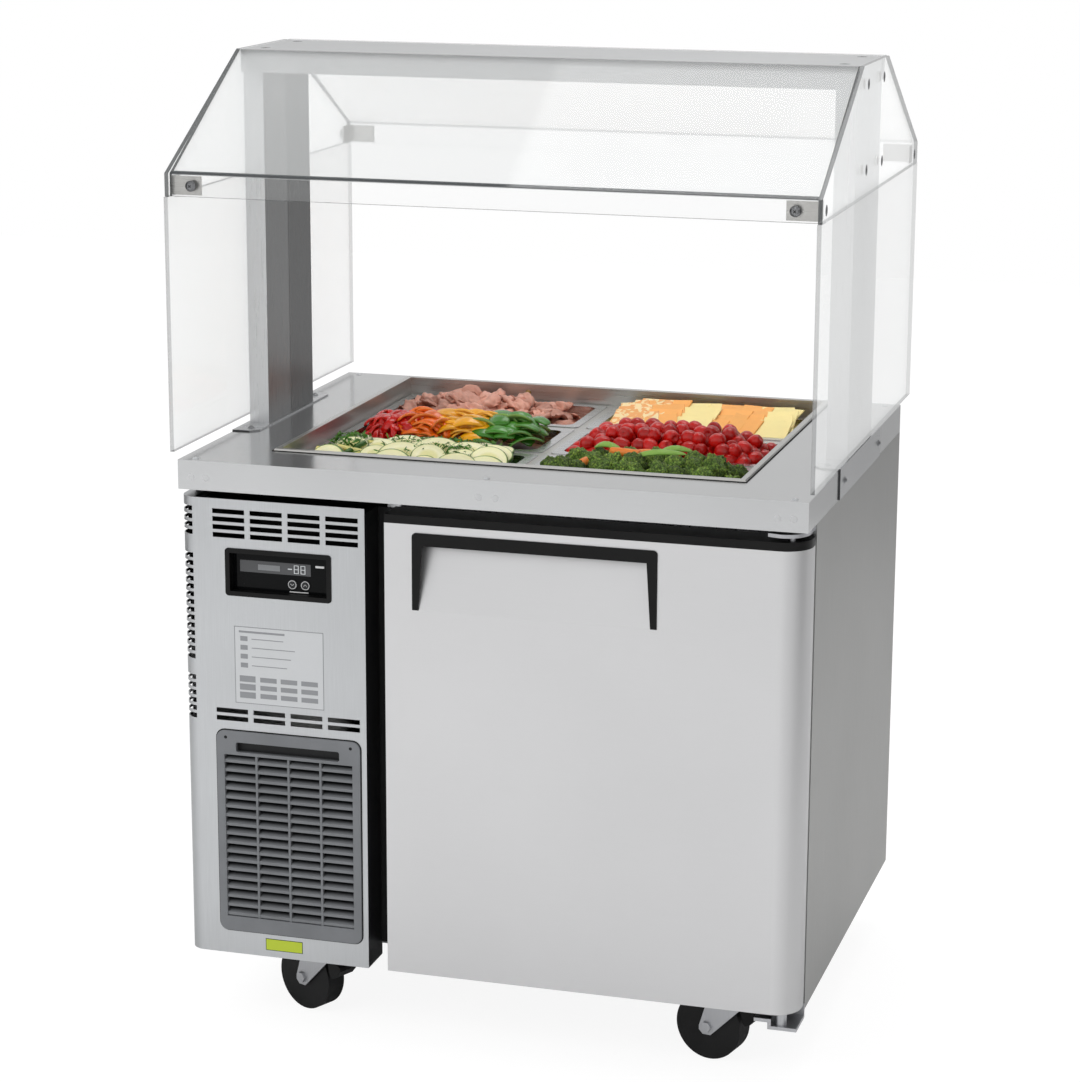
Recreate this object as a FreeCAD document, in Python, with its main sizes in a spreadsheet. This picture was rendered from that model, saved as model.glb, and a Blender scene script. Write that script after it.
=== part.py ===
"""Mobile refrigerated salad bar: cabinet, machine compartment, door, food guard, pans, casters.

Frame: +Z up, X to the right, the door side faces -Y. The origin is on the floor, under the
middle of the food guard. All sizes are millimetres.
"""
import FreeCAD, Part
import os
from types import SimpleNamespace

import Sketcher

# ---------------------------------------------------------------------------------------------
# Driving sizes
# ---------------------------------------------------------------------------------------------
SIZES = {
    # Worktop and cabinet
    "counter_width": 900,
    "counter_depth": 700,
    "counter_height": 838,
    "fascia_height": 42,
    "worktop_sheet": 2,
    "panel_sheet": 1.5,
    "skirt_height": 99.5,
    "base_height": 126,
    "base_sheet": 2,
    "frame_setback": 60,
    "frame_foot": 118,
    "guard_overhang": 6,
    # Cold compartment
    "mullion_inset": 290,
    "mullion_width": 50,
    "jamb_width": 40,
    "sill_height": 150,
    "compartment_top": 660,
    "rear_foam": 46,
    "liner_sheet": 1.2,
    # Pan opening, well and grid
    "opening_width": 669,
    "opening_depth": 569,
    "opening_front": 104,
    "well_sheet": 1.2,
    "rim_width": 9,
    "rim_rise": 3,
    "ledge_drop": 26,
    "ledge_width": 10,
    "well_depth": 140,
    "well_foam": 16,
    "grid_sheet": 2,
    "grid_gap": 0.5,
    # Third-size pans
    "pan_length": 325,
    "pan_width": 176,
    "pan_depth": 100,
    "pan_sheet": 1,
    "pan_rim": 13,
    "pan_corner": 16,
    "pan_rim_chamfer": 5,
    "pan_gap_x": 12,
    "pan_gap_y": 14,
    # Door
    "door_inset": 305.5,
    "door_bottom": 110,
    "door_top_gap": 15,
    "door_thickness": 50,
    "door_corner": 38,
    "door_skin_sheet": 1.2,
    "gasket_depth": 9.7,
    "gasket_width": 14,
    "cap_height": 12,
    "hinge_inset_x": 24,
    "hinge_inset_y": 16,
    "hinge_pin": 8,
    "pin_clearance": 0.05,
    "pin_reach": 20,
    "hinge_plate": 5,
    # Door handle
    "handle_inset": 40.5,
    "handle_width": 349,
    "handle_drop": 46,
    "handle_height": 110,
    "handle_bar": 18,
    "handle_leg": 15,
    "handle_toe": 9,
    "recess_depth": 28,
    "cheek_sheet": 3,
    # Machine compartment front
    "machine_width": 276.7,
    "machine_top_gap": 10,
    "machine_corner": 23,
    "machine_sheet": 1.2,
    "slot_length": 48,
    "slot_height": 7,
    "slot_pitch_x": 56.2,
    "slot_pitch_z": 11.4,
    "slot_inset": 50.5,
    "upper_slot_drop": 70,
    "lower_slot_drop": 361,
    "corner_slot_reach": 20,
    "rear_slot_length": 60,
    "rear_slot_lift": 70,
    # Control
    "control_inset": 68.5,
    "control_width": 158.5,
    "control_height": 69,
    "control_drop": 122,
    "control_flange": 5,
    "control_depth": 46,
    "control_recess": 14,
    "lens_sheet": 1.5,
    "button_radius": 7,
    "button_inset": 95.9,
    "button_pitch": 19.5,
    "button_drop": 171.5,
    "button_gap": 0.3,
    # Intake grille
    "grille_inset": 50.5,
    "grille_width": 217,
    "grille_drop": 390,
    "grille_height": 302,
    "grille_corner": 12,
    "grille_face": 3,
    "grille_depth": 14,
    "grille_flange": 6,
    "grille_field_drop": 35.5,
    "grille_border": 11.5,
    "louvre_pitch": 13.6,
    "louvre_sheet": 4.2,
    "louvre_slant": 6.4,
    "rib_width": 3.2,
    "grip_inset": 29.5,
    "grip_width": 156.5,
    "grip_drop": 16.5,
    "grip_height": 14.5,
    "grip_depth": 10,
    # Food guard
    "glass_sheet": 6,
    "clearance": 0.3,
    "guard_depth": 720,
    "side_glass_depth": 736,
    "side_glass_lift": 12,
    "guard_height": 550,
    "bend_height": 401,
    "lip_height": 369,
    "beam_depth": 188,
    "beam_height": 33,
    "beam_sheet": 2,
    "post_width": 30,
    "post_outer_gap": 1,
    "post_sheet": 1.5,
    "post_seam": 1,
    "angle_depth": 309,
    "angle_width": 37,
    "angle_sheet": 2,
    "angle_corner": 12,
    "bolt_offset": 60,
    "bolt_drop": 27,
    "bolt_height": 405,
    "standoff_radius": 7.5,
    "bracket_length": 44,
    "bracket_height": 26,
    "bracket_sheet": 2,
    # Casters
    "caster_right_inset": 109,
    "caster_left_inset": 179,
    "caster_inset": 88,
    "wheel_radius": 50,
    "wheel_width": 32,
    "wheel_hub": 18,
    "caster_trail": 30,
    "axle_radius": 5,
    "fork_sheet": 3,
    "crown_radius": 32,
    "race_height": 6,
    "race_radius": 24,
    "kingpin_radius": 7,
    "caster_plate_length": 92,
    "caster_plate_width": 50,
    "caster_plate_sheet": 4,
    "brake_pivot_x": 14,
    "brake_pivot_z": 92,
    "brake_pin": 3,
    "front_left_swivel": -25,
    "front_right_swivel": -13,
    "rear_left_swivel": 160,
    "rear_right_swivel": 175,
    # Cold side and warm side of the refrigeration circuit
    "fin_pitch": 8,
    "fin_gap": 5.5,
    "condenser_width": 200,
    "condenser_height": 300,
    "condenser_thickness": 40,
    "tube_radius": 4,
    "fan_radius": 88,
    "fan_hub": 24,
    "fan_width": 22,
    "fan_clearance": 5,
    "shaft_radius": 4,
    "compressor_radius": 74,
    "compressor_height": 165,
    "evaporator_length": 300,
    "evaporator_height": 290,
    "evaporator_thickness": 66,
    "evaporator_fan_radius": 58,
    "evaporator_fan_hub": 16,
    "evaporator_fan_width": 14,
    # Shelf
    "wire_radius": 2.2,
    "shelf_wire_count": 11,
    "shelf_height": 330,
    "pilaster_sheet": 1.5,
    "pilaster_width": 16,
    "clip_reach": 22,
}

DOCUMENT = FreeCAD.newDocument("salad_bar")
SHEET = DOCUMENT.addObject("Spreadsheet::Sheet", "sizes")
for row, (alias, number) in enumerate(SIZES.items(), start=1):
    SHEET.set(f"A{row}", alias)
    SHEET.set(f"B{row}", str(number))
    SHEET.setAlias(f"B{row}", alias)
DOCUMENT.recompute()


class Length:
    """A size with its present value and the spreadsheet formula that it comes from."""

    def __init__(self, value, formula):
        self.value = value
        self.formula = formula

    @staticmethod
    def of(other):
        return other if isinstance(other, Length) else Length(other, repr(other))

    def __add__(self, other):
        other = Length.of(other)
        return Length(self.value + other.value, f"({self.formula} + {other.formula})")

    def __sub__(self, other):
        other = Length.of(other)
        return Length(self.value - other.value, f"({self.formula} - {other.formula})")

    def __mul__(self, other):
        other = Length.of(other)
        return Length(self.value * other.value, f"({self.formula} * {other.formula})")

    def __truediv__(self, other):
        other = Length.of(other)
        return Length(self.value / other.value, f"({self.formula} / {other.formula})")

    def __radd__(self, other):
        return Length.of(other) + self

    def __rsub__(self, other):
        return Length.of(other) - self

    def __rmul__(self, other):
        return Length.of(other) * self

    def __neg__(self):
        return Length(-self.value, f"(0 - {self.formula})")

    def root(self):
        return Length(self.value ** 0.5, f"sqrt({self.formula})")


S = SimpleNamespace(**{name: Length(number, f"sizes.{name}") for name, number in SIZES.items()})

# Planes that several pieces share
LEFT = -S.counter_width / 2
RIGHT = S.counter_width / 2
FRONT = -S.side_glass_depth / 2 + S.guard_overhang
REAR = FRONT + S.counter_depth
TOP = S.counter_height
FASCIA = TOP - S.fascia_height
FRAME = FRONT + S.frame_setback
FLOOR_PLATE = S.base_height + S.base_sheet
SKIRT_FOOT = S.skirt_height + S.panel_sheet
DOOR_TOP = FASCIA - S.door_top_gap
DOOR_BACK = FRONT + S.door_thickness
MACHINE_TOP = FASCIA - S.machine_top_gap
GLASS_INSIDE = RIGHT + S.angle_sheet + S.clearance
# The machine compartment keeps its width at the left, and the door takes the rest.
MACHINE_RIGHT = LEFT + S.machine_width
MULLION_X = LEFT + S.mullion_inset
DOOR_LEFT = LEFT + S.door_inset
HANDLE_LEFT = DOOR_LEFT + S.handle_inset
CONTROL_LEFT = LEFT + S.control_inset
GRILLE_LEFT = LEFT + S.grille_inset
GRIP_LEFT = GRILLE_LEFT + S.grip_inset

NODES = []


# ---------------------------------------------------------------------------------------------
# Small helpers
# ---------------------------------------------------------------------------------------------
def bind(thing, prop, length):
    """Bind a property to the formula of a length."""
    thing.setExpression(prop, Length.of(length).formula)


def node(thing, name):
    """Name a finished sub-part and put it on the list of what is written."""
    thing.Label = name
    NODES.append(thing)
    return thing


def box(name, x, y, z):
    """A block between two planes on each axis."""
    block = DOCUMENT.addObject("Part::Box", name)
    for prop, axis, (low, high) in zip(("Length", "Width", "Height"), "xyz", (x, y, z)):
        bind(block, prop, Length.of(high) - low)
        bind(block, f".Placement.Base.{axis}", low)
    return block


TURNS = {
    "X": FreeCAD.Rotation(FreeCAD.Vector(0, 1, 0), 90),
    "Y": FreeCAD.Rotation(FreeCAD.Vector(1, 0, 0), -90),
    "Z": FreeCAD.Rotation(),
}


def cylinder(name, base, radius, length, axis="Z"):
    """A round bar from its base point along +X, +Y or +Z."""
    bar = DOCUMENT.addObject("Part::Cylinder", name)
    bar.Placement = FreeCAD.Placement(FreeCAD.Vector(), TURNS[axis])
    bind(bar, "Radius", radius)
    bind(bar, "Height", length)
    for letter, place in zip("xyz", base):
        bind(bar, f".Placement.Base.{letter}", place)
    return bar


def prism(name, base, radius, length, sides, axis="Z"):
    """A regular many-sided bar from its base point along +X, +Y or +Z."""
    bar = DOCUMENT.addObject("Part::Prism", name)
    bar.Placement = FreeCAD.Placement(FreeCAD.Vector(), TURNS[axis])
    bar.Polygon = sides
    bind(bar, "Circumradius", radius)
    bind(bar, "Height", length)
    for letter, place in zip("xyz", base):
        bind(bar, f".Placement.Base.{letter}", place)
    return bar


def fuse(name, pieces):
    joined = DOCUMENT.addObject("Part::MultiFuse", name)
    joined.Shapes = pieces
    joined.Refine = True
    return joined


def cut(name, base, tools):
    """Take tools out of a base: one tool as it is, more than one as a compound."""
    removed = DOCUMENT.addObject("Part::Cut", name)
    removed.Base = base
    removed.Tool = tools[0] if len(tools) == 1 else fuse(name + "_tools", tools)
    return removed


def group(name, pieces):
    """Separate solids that share one node."""
    bundle = DOCUMENT.addObject("Part::Compound", name)
    bundle.Links = pieces
    return bundle


def start_body(name):
    return DOCUMENT.addObject("PartDesign::Body", name)


def plane_of(body, role):
    for feature in body.Origin.OriginFeatures:
        if feature.Role == role:
            return feature
    raise ValueError(role)


def new_sketch(body, role, offset=0):
    """A sketch on one of the body's own planes, moved along the plane's normal."""
    sketch = body.newObject("Sketcher::SketchObject", body.Name + "_sketch")
    sketch.AttachmentSupport = [(plane_of(body, role), "")]
    sketch.MapMode = "FlatFace"
    bind(sketch, ".AttachmentOffset.Base.z", offset)
    return sketch


def pin_point(sketch, geometry, position, x, y):
    """Hold one point of a sketch at a distance from the sketch's origin."""
    for kind, place in (("DistanceX", x), ("DistanceY", y)):
        place = Length.of(place)
        index = sketch.addConstraint(
            Sketcher.Constraint(kind, -1, 1, geometry, position, place.value))
        sketch.setExpression(f"Constraints[{index}]", place.formula)


def outline(sketch, points):
    """A closed outline. A point (x, y, radius) starts an arc to the next point.

    A positive radius turns anticlockwise about its centre, a negative one clockwise.
    """
    flat = [(Length.of(p[0]), Length.of(p[1])) for p in points]
    first = len(sketch.Geometry)
    for index, point in enumerate(points):
        x0, y0 = (value.value for value in flat[index])
        x1, y1 = (value.value for value in flat[(index + 1) % len(points)])
        start, end = FreeCAD.Vector(x0, y0), FreeCAD.Vector(x1, y1)
        if len(point) == 2:
            sketch.addGeometry(Part.LineSegment(start, end))
            continue
        radius = Length.of(point[2]).value
        chord = end - start
        side = FreeCAD.Vector(-chord.y, chord.x) * (1 / chord.Length)
        sagitta = abs(radius) - (radius ** 2 - (chord.Length / 2) ** 2) ** 0.5
        bulge = (start + end) * 0.5 - side * (sagitta if radius > 0 else -sagitta)
        sketch.addGeometry(Part.Arc(start, bulge, end))
    count = len(points)
    for index, point in enumerate(points):
        geometry = first + index
        following = first + (index + 1) % count
        turned = len(point) == 3 and Length.of(point[2]).value < 0
        next_turned = (len(points[(index + 1) % count]) == 3
                       and Length.of(points[(index + 1) % count][2]).value < 0)
        end_position = 1 if turned else 2
        start_position = 2 if next_turned else 1
        sketch.addConstraint(Sketcher.Constraint(
            "Coincident", geometry, end_position, following, start_position))
    for index, point in enumerate(points):
        geometry = first + index
        turned = len(point) == 3 and Length.of(point[2]).value < 0
        pin_point(sketch, geometry, 2 if turned else 1, *flat[index])
        if len(point) == 3:
            radius = Length.of(point[2])
            radius = -radius if radius.value < 0 else radius
            index_of = sketch.addConstraint(
                Sketcher.Constraint("Radius", geometry, radius.value))
            sketch.setExpression(f"Constraints[{index_of}]", radius.formula)


def rectangle(sketch, x0, x1, y0, y1, corner=None):
    """A rectangle, with rounded corners where a corner radius is given."""
    if corner is None:
        outline(sketch, [(x0, y0), (x1, y0), (x1, y1), (x0, y1)])
        return
    x0, x1, y0, y1, corner = (Length.of(value) for value in (x0, x1, y0, y1, corner))
    outline(sketch, [
        (x0 + corner, y0), (x1 - corner, y0, corner),
        (x1, y0 + corner), (x1, y1 - corner, corner),
        (x1 - corner, y1), (x0 + corner, y1, corner),
        (x0, y1 - corner), (x0, y0 + corner, corner),
    ])


def circle(sketch, x, y, radius):
    x, y, radius = (Length.of(value) for value in (x, y, radius))
    geometry = sketch.addGeometry(
        Part.Circle(FreeCAD.Vector(x.value, y.value), FreeCAD.Vector(0, 0, 1), radius.value))
    pin_point(sketch, geometry, 3, x, y)
    index = sketch.addConstraint(Sketcher.Constraint("Radius", geometry, radius.value))
    sketch.setExpression(f"Constraints[{index}]", radius.formula)


def feature(body, kind, sketch, length=None, back=False):
    """A pad, pocket or loft of a sketch. back turns it against the usual direction."""
    step = body.newObject(f"PartDesign::{kind}", f"{body.Name}_{kind.lower()}")
    step.Profile = sketch
    if length is not None:
        bind(step, "Length", length)
    if back:
        step.Reversed = True
    sketch.Visibility = False
    body.Tip = step
    return step


def pad(body, role, offset, length, draw, back=False):
    """Pad what draw(sketch) draws on an origin plane."""
    sketch = new_sketch(body, role, offset)
    draw(sketch)
    return feature(body, "Pad", sketch, length, back)


def pocket(body, role, offset, length, draw, back=False):
    """Pocket what draw(sketch) draws, and make sure that it takes something away."""
    DOCUMENT.recompute()
    before = body.Shape.Volume
    sketch = new_sketch(body, role, offset)
    draw(sketch)
    step = feature(body, "Pocket", sketch, length, back)
    DOCUMENT.recompute()
    if body.Shape.Volume > before * (1 - 1e-6):
        raise ValueError(f"a pocket of {body.Name} takes nothing away")
    return step


def row_of(body, original, role, pitch, count, back=False):
    """Repeat a feature along an origin axis."""
    pattern = body.newObject("PartDesign::LinearPattern", body.Name + "_row")
    pattern.Originals = [original]
    pattern.Direction = (plane_of(body, role), [""])
    pattern.Reversed = back
    bind(pattern, "Length", Length.of(pitch) * (count - 1))
    pattern.Occurrences = count
    body.Tip = pattern
    return pattern


def ring_of(body, original, role, count):
    """Repeat a feature all round an origin axis."""
    pattern = body.newObject("PartDesign::PolarPattern", body.Name + "_ring")
    pattern.Originals = [original]
    pattern.Axis = (plane_of(body, role), [""])
    pattern.Angle = 360
    pattern.Occurrences = count
    body.Tip = pattern
    return pattern


def loft(body, kind, sections):
    """A loft through drawn sections, each (plane role, offset, draw)."""
    sketches = []
    for role, offset, draw in sections:
        sketch = new_sketch(body, role, offset)
        draw(sketch)
        sketches.append(sketch)
    step = body.newObject(f"PartDesign::{kind}", f"{body.Name}_{kind.lower()}")
    step.Profile = sketches[0]
    step.Sections = sketches[1:]
    step.Ruled = True
    body.Tip = step
    return step


def place_body(body, x, y, z, angle=None):
    """Put a body at a point, turned about the vertical."""
    body.Placement = FreeCAD.Placement(FreeCAD.Vector(), FreeCAD.Rotation(FreeCAD.Vector(0, 0, 1), 1))
    for letter, place in zip("xyz", (x, y, z)):
        bind(body, f".Placement.Base.{letter}", place)
    if angle is None:
        body.Placement = FreeCAD.Placement()
    else:
        bind(body, ".Placement.Rotation.Angle", angle)


# ---------------------------------------------------------------------------------------------
# Worktop, pan well and grid
# ---------------------------------------------------------------------------------------------
# The opening is centred across the counter and starts behind a wide front ledge.
WELL_X = S.opening_width / 2
WELL_FRONT = FRONT + S.opening_front
WELL_REAR = WELL_FRONT + S.opening_depth
LEDGE = TOP - S.ledge_drop
WELL_FLOOR = TOP - S.well_depth


def make_worktop():
    """Folded sheet: a flat top with a fascia turned down on all four sides."""
    body = start_body("worktop")
    pad(body, "XY_Plane", FASCIA, S.fascia_height,
        lambda s: rectangle(s, LEFT, RIGHT, FRONT, REAR))
    t = S.worktop_sheet
    pocket(body, "XY_Plane", FASCIA, S.fascia_height - t,
           lambda s: rectangle(s, LEFT + t, RIGHT - t, FRONT + t, REAR - t), back=True)
    w = S.well_sheet + S.clearance
    pocket(body, "XY_Plane", TOP, t,
           lambda s: rectangle(s, -WELL_X - w, WELL_X + w, WELL_FRONT - w, WELL_REAR + w))
    node(body, "worktop")


def make_pan_well():
    """Drop-in tub: a rim on the worktop, a wall, a ledge all round and the tub below it."""
    body = start_body("pan_well")
    t, r, ledge = S.well_sheet, S.rim_width, S.ledge_width

    def wall(grow):
        return lambda s: rectangle(s, -WELL_X - grow, WELL_X + grow,
                                   WELL_FRONT - grow, WELL_REAR + grow)

    pad(body, "XY_Plane", WELL_FLOOR - t, LEDGE - WELL_FLOOR + t, wall(t - ledge))
    pad(body, "XY_Plane", LEDGE - t, S.ledge_drop + t, wall(t))
    loft(body, "AdditiveLoft", [("XY_Plane", TOP, wall(r)),
                                ("XY_Plane", TOP + S.rim_rise, wall(r - S.rim_rise / 2))])
    pocket(body, "XY_Plane", TOP + S.rim_rise, S.ledge_drop + S.rim_rise, wall(0))
    pocket(body, "XY_Plane", LEDGE, LEDGE - WELL_FLOOR, wall(-ledge))
    node(body, "pan_well")


# Pan places: two columns and three rows, centred in the opening.
COLUMN_X = (S.pan_length + S.pan_gap_x) / 2
ROW_PITCH = S.pan_width + S.pan_gap_y
WELL_CENTRE = (WELL_FRONT + WELL_REAR) / 2
GRID_TOP = LEDGE + S.grid_sheet
PAN_ROWS = {"front": -ROW_PITCH, "middle": 0 * ROW_PITCH, "rear": ROW_PITCH}
PAN_COLUMNS = {"left": -COLUMN_X, "right": COLUMN_X}


def make_pan_grid():
    """Flat frame on the ledge, with one window for each pan."""
    body = start_body("pan_grid")
    gap = S.grid_gap
    pad(body, "XY_Plane", LEDGE, S.grid_sheet,
        lambda s: rectangle(s, gap - WELL_X, WELL_X - gap, WELL_FRONT + gap, WELL_REAR - gap))
    # The windows clear the pans' bodies and still carry half of their rims.
    half_x = S.pan_length / 2 - S.pan_rim / 2
    half_y = S.pan_width / 2 - S.pan_rim / 2

    def windows(sketch):
        for x in PAN_COLUMNS.values():
            for y in PAN_ROWS.values():
                middle = WELL_CENTRE + y
                rectangle(sketch, x - half_x, x + half_x, middle - half_y, middle + half_y)

    pocket(body, "XY_Plane", GRID_TOP, S.grid_sheet, windows)
    node(body, "pan_grid")


def make_pan(row, column):
    """Third-size pan: a flat rim with clipped corners, round-cornered walls, open above."""
    body = start_body(f"pan_{row}_{column}")
    half_x, half_y, t = S.pan_length / 2, S.pan_width / 2, S.pan_sheet
    rim, corner = S.pan_rim, S.pan_corner
    top = GRID_TOP + t

    def mouth(inset, radius):
        return lambda s: rectangle(s, inset - half_x, half_x - inset,
                                   inset - half_y, half_y - inset, radius)

    c = S.pan_rim_chamfer
    pad(body, "XY_Plane", GRID_TOP, t, lambda s: outline(s, [
        (-half_x, c - half_y), (c - half_x, -half_y), (half_x - c, -half_y),
        (half_x, c - half_y), (half_x, half_y - c), (half_x - c, half_y),
        (c - half_x, half_y), (-half_x, half_y - c)]))
    pad(body, "XY_Plane", GRID_TOP, S.pan_depth - t, mouth(rim, corner), back=True)
    pocket(body, "XY_Plane", top, S.pan_depth - t, mouth(rim + t, corner - t))
    place_body(body, PAN_COLUMNS[column], WELL_CENTRE + PAN_ROWS[row], 0)
    node(body, f"pan_{row}_{column}")


# ---------------------------------------------------------------------------------------------
# Cabinet: foam, liner, casing, base
# ---------------------------------------------------------------------------------------------
CELL_LEFT = MULLION_X + S.mullion_width
CELL_RIGHT = RIGHT - S.jamb_width
CELL_REAR = REAR - S.rear_foam
FOAM_FRONT = FRAME + S.panel_sheet


def make_insulation_foam():
    """Foam boards: round the cold compartment, under the well and round its walls."""
    t, p, w = S.well_sheet, S.panel_sheet, S.worktop_sheet
    under_well = WELL_FLOOR - t
    board_foot = under_well - S.well_foam
    deep = (FOAM_FRONT, REAR - p)
    cell_z = (S.sill_height, S.compartment_top)
    boards = [
        box("floor_board", (MULLION_X, RIGHT - p), deep, (FLOOR_PLATE, S.sill_height)),
        box("mullion_board", (MULLION_X, CELL_LEFT), deep, cell_z),
        box("right_board", (CELL_RIGHT, RIGHT - p), deep, cell_z),
        box("rear_board", (CELL_LEFT, CELL_RIGHT), (CELL_REAR, REAR - p), cell_z),
        box("ceiling_board", (MULLION_X, RIGHT - p), deep, (S.compartment_top, board_foot)),
    ]
    left, right, front, rear = -WELL_X - t - S.well_foam, RIGHT - w, FOAM_FRONT, REAR - w
    boards.append(box("well_board", (left, right), (front, rear), (board_foot, under_well)))
    # Two rings of boards round the well: the lower one is drawn in under its ledge.
    rings = (("tub", t - S.ledge_width, (under_well, LEDGE - t)), ("wall", t, (LEDGE - t, TOP - w)))
    for name, grow, z in rings:
        x0, x1 = -WELL_X - grow, WELL_X + grow
        y0, y1 = WELL_FRONT - grow, WELL_REAR + grow
        boards.append(box(name + "_left", (left, x0), (front, rear), z))
        boards.append(box(name + "_right", (x1, right), (front, rear), z))
        boards.append(box(name + "_front", (x0, x1), (front, y0), z))
        boards.append(box(name + "_rear", (x0, x1), (y1, rear), z))
    node(group("insulation_foam", boards), "insulation_foam")


def make_inner_liner():
    """Stainless liner of the cold compartment, open at the front."""
    t = S.liner_sheet
    outer = box("liner_outer", (CELL_LEFT, CELL_RIGHT), (FOAM_FRONT, CELL_REAR),
                (S.sill_height, S.compartment_top))
    inner = box("liner_inner", (CELL_LEFT + t, CELL_RIGHT - t), (FRAME, CELL_REAR - t),
                (S.sill_height + t, S.compartment_top - t))
    node(cut("inner_liner", outer, [inner]), "inner_liner")


def make_side_panel(name, mirror):
    """Side sheet with a hem turned in along its foot."""
    body = start_body(name)
    p, hem = S.panel_sheet, 12
    outer = LEFT if mirror else RIGHT
    inward = 1 if mirror else -1
    pad(body, "XZ_Plane", -FRAME, REAR - FRAME, lambda s: outline(s, [
        (outer, S.skirt_height), (outer, FASCIA), (outer + inward * p, FASCIA),
        (outer + inward * p, S.skirt_height + p), (outer + inward * (p + hem), S.skirt_height + p),
        (outer + inward * (p + hem), S.skirt_height)]), back=True)
    node(body, name)


def make_rear_panels():
    """Plain sheet behind the cold compartment, slotted cover behind the machine."""
    p = S.panel_sheet
    plain = start_body("rear_panel")
    pad(plain, "XZ_Plane", p - REAR, p,
        lambda s: rectangle(s, MULLION_X, RIGHT - p, SKIRT_FOOT, FASCIA), back=True)
    node(plain, "rear_panel")

    cover = start_body("rear_vent_cover")
    seam = S.clearance
    pad(cover, "XZ_Plane", p - REAR, p,
        lambda s: rectangle(s, LEFT + p, MULLION_X - seam, SKIRT_FOOT, FASCIA), back=True)

    length, pitch = S.rear_slot_length, S.rear_slot_length + 2 * S.slot_height

    def row(sketch):
        first = (LEFT + MULLION_X - 3 * pitch + 2 * S.slot_height) / 2
        for column in range(3):
            start, foot = first + column * pitch, S.base_height + S.rear_slot_lift
            rectangle(sketch, start, start + length, foot, foot + S.slot_height)

    slots = pocket(cover, "XZ_Plane", p - REAR, p, row)
    row_of(cover, slots, "Z_Axis", 2 * S.slot_pitch_z, 8)
    node(cover, "rear_vent_cover")


def make_base_pan():
    """Floor plate that carries everything, with a skirt turned down along the rear."""
    body = start_body("base_pan")
    t, p = S.base_sheet, S.panel_sheet
    front, rear = FRAME + p, REAR - p
    pad(body, "YZ_Plane", LEFT + p, S.counter_width - 2 * p, lambda s: outline(s, [
        (front, S.base_height), (rear - t, S.base_height), (rear - t, SKIRT_FOOT),
        (rear, SKIRT_FOOT), (rear, FLOOR_PLATE), (front, FLOOR_PLATE)]))
    node(body, "base_pan")


def make_front_frame():
    """Stainless face sheet round the door opening."""
    body = start_body("front_frame")
    p, t = S.panel_sheet, S.liner_sheet
    pad(body, "XZ_Plane", -FRAME, p,
        lambda s: rectangle(s, MULLION_X, RIGHT - p, S.frame_foot, FASCIA), back=True)
    pocket(body, "XZ_Plane", -FRAME, p,
           lambda s: rectangle(s, CELL_LEFT + t, CELL_RIGHT - t, S.sill_height + t,
                               S.compartment_top - t))
    node(body, "front_frame")


# ---------------------------------------------------------------------------------------------
# Machine compartment: front panel, bracket, control, grille
# ---------------------------------------------------------------------------------------------
def make_machine_front_panel():
    """Brushed sheet rolled round the left corner, slotted on its face and round the corner."""
    body = start_body("machine_front_panel")
    t, r, foot = S.machine_sheet, S.machine_corner, S.door_bottom
    pad(body, "XY_Plane", foot, MACHINE_TOP - foot, lambda s: outline(s, [
        (LEFT, FRAME), (LEFT, FRONT + r, r), (LEFT + r, FRONT), (MACHINE_RIGHT, FRONT),
        (MACHINE_RIGHT, FRONT + t), (LEFT + r, FRONT + t, t - r), (LEFT + t, FRONT + r),
        (LEFT + t, FRAME)]))
    # A closed top over the rolled corner only.
    pad(body, "XY_Plane", MACHINE_TOP - t, t, lambda s: outline(s, [
        (LEFT, FRAME), (LEFT, FRONT + r, r), (LEFT + r, FRONT), (LEFT + r, FRAME)]))

    def slot(sketch, x, z):
        rectangle(sketch, x, x + S.slot_length, z - S.slot_height, z)

    def slot_rows(drop, count):
        def one_row(sketch):
            for column in range(4):
                slot(sketch, LEFT + S.slot_inset + column * S.slot_pitch_x, TOP - drop)

        first = pocket(body, "XZ_Plane", -FRONT, t, one_row, back=False)
        row_of(body, first, "Z_Axis", S.slot_pitch_z, count, back=True)

    slot_rows(S.upper_slot_drop - S.slot_height / 2, 4)
    slot_rows(S.lower_slot_drop - S.slot_height / 2, 2)

    # Three runs of short slots that wrap the rolled corner.
    reach = r + 8
    for drop, count in ((65, 4), (133, 14), (312, 6)):
        z = TOP - drop
        first = pocket(body, "XZ_Plane", -FRONT, reach,
                       lambda s, z=z: rectangle(s, LEFT - t, LEFT + S.corner_slot_reach,
                                                z - S.slot_height, z))
        row_of(body, first, "Z_Axis", S.slot_pitch_z, count, back=True)

    f = S.control_flange
    pocket(body, "XZ_Plane", -FRONT, t, lambda s: rectangle(
        s, CONTROL_LEFT + f, CONTROL_LEFT + S.control_width - f,
        TOP - S.control_drop - S.control_height + f, TOP - S.control_drop - f))
    g = S.grille_flange
    pocket(body, "XZ_Plane", -FRONT, t, lambda s: rectangle(
        s, GRILLE_LEFT + g, GRILLE_LEFT + S.grille_width - g,
        TOP - S.grille_drop - S.grille_height + g, TOP - S.grille_drop - g, S.grille_corner - g))
    node(body, "machine_front_panel")


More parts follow.
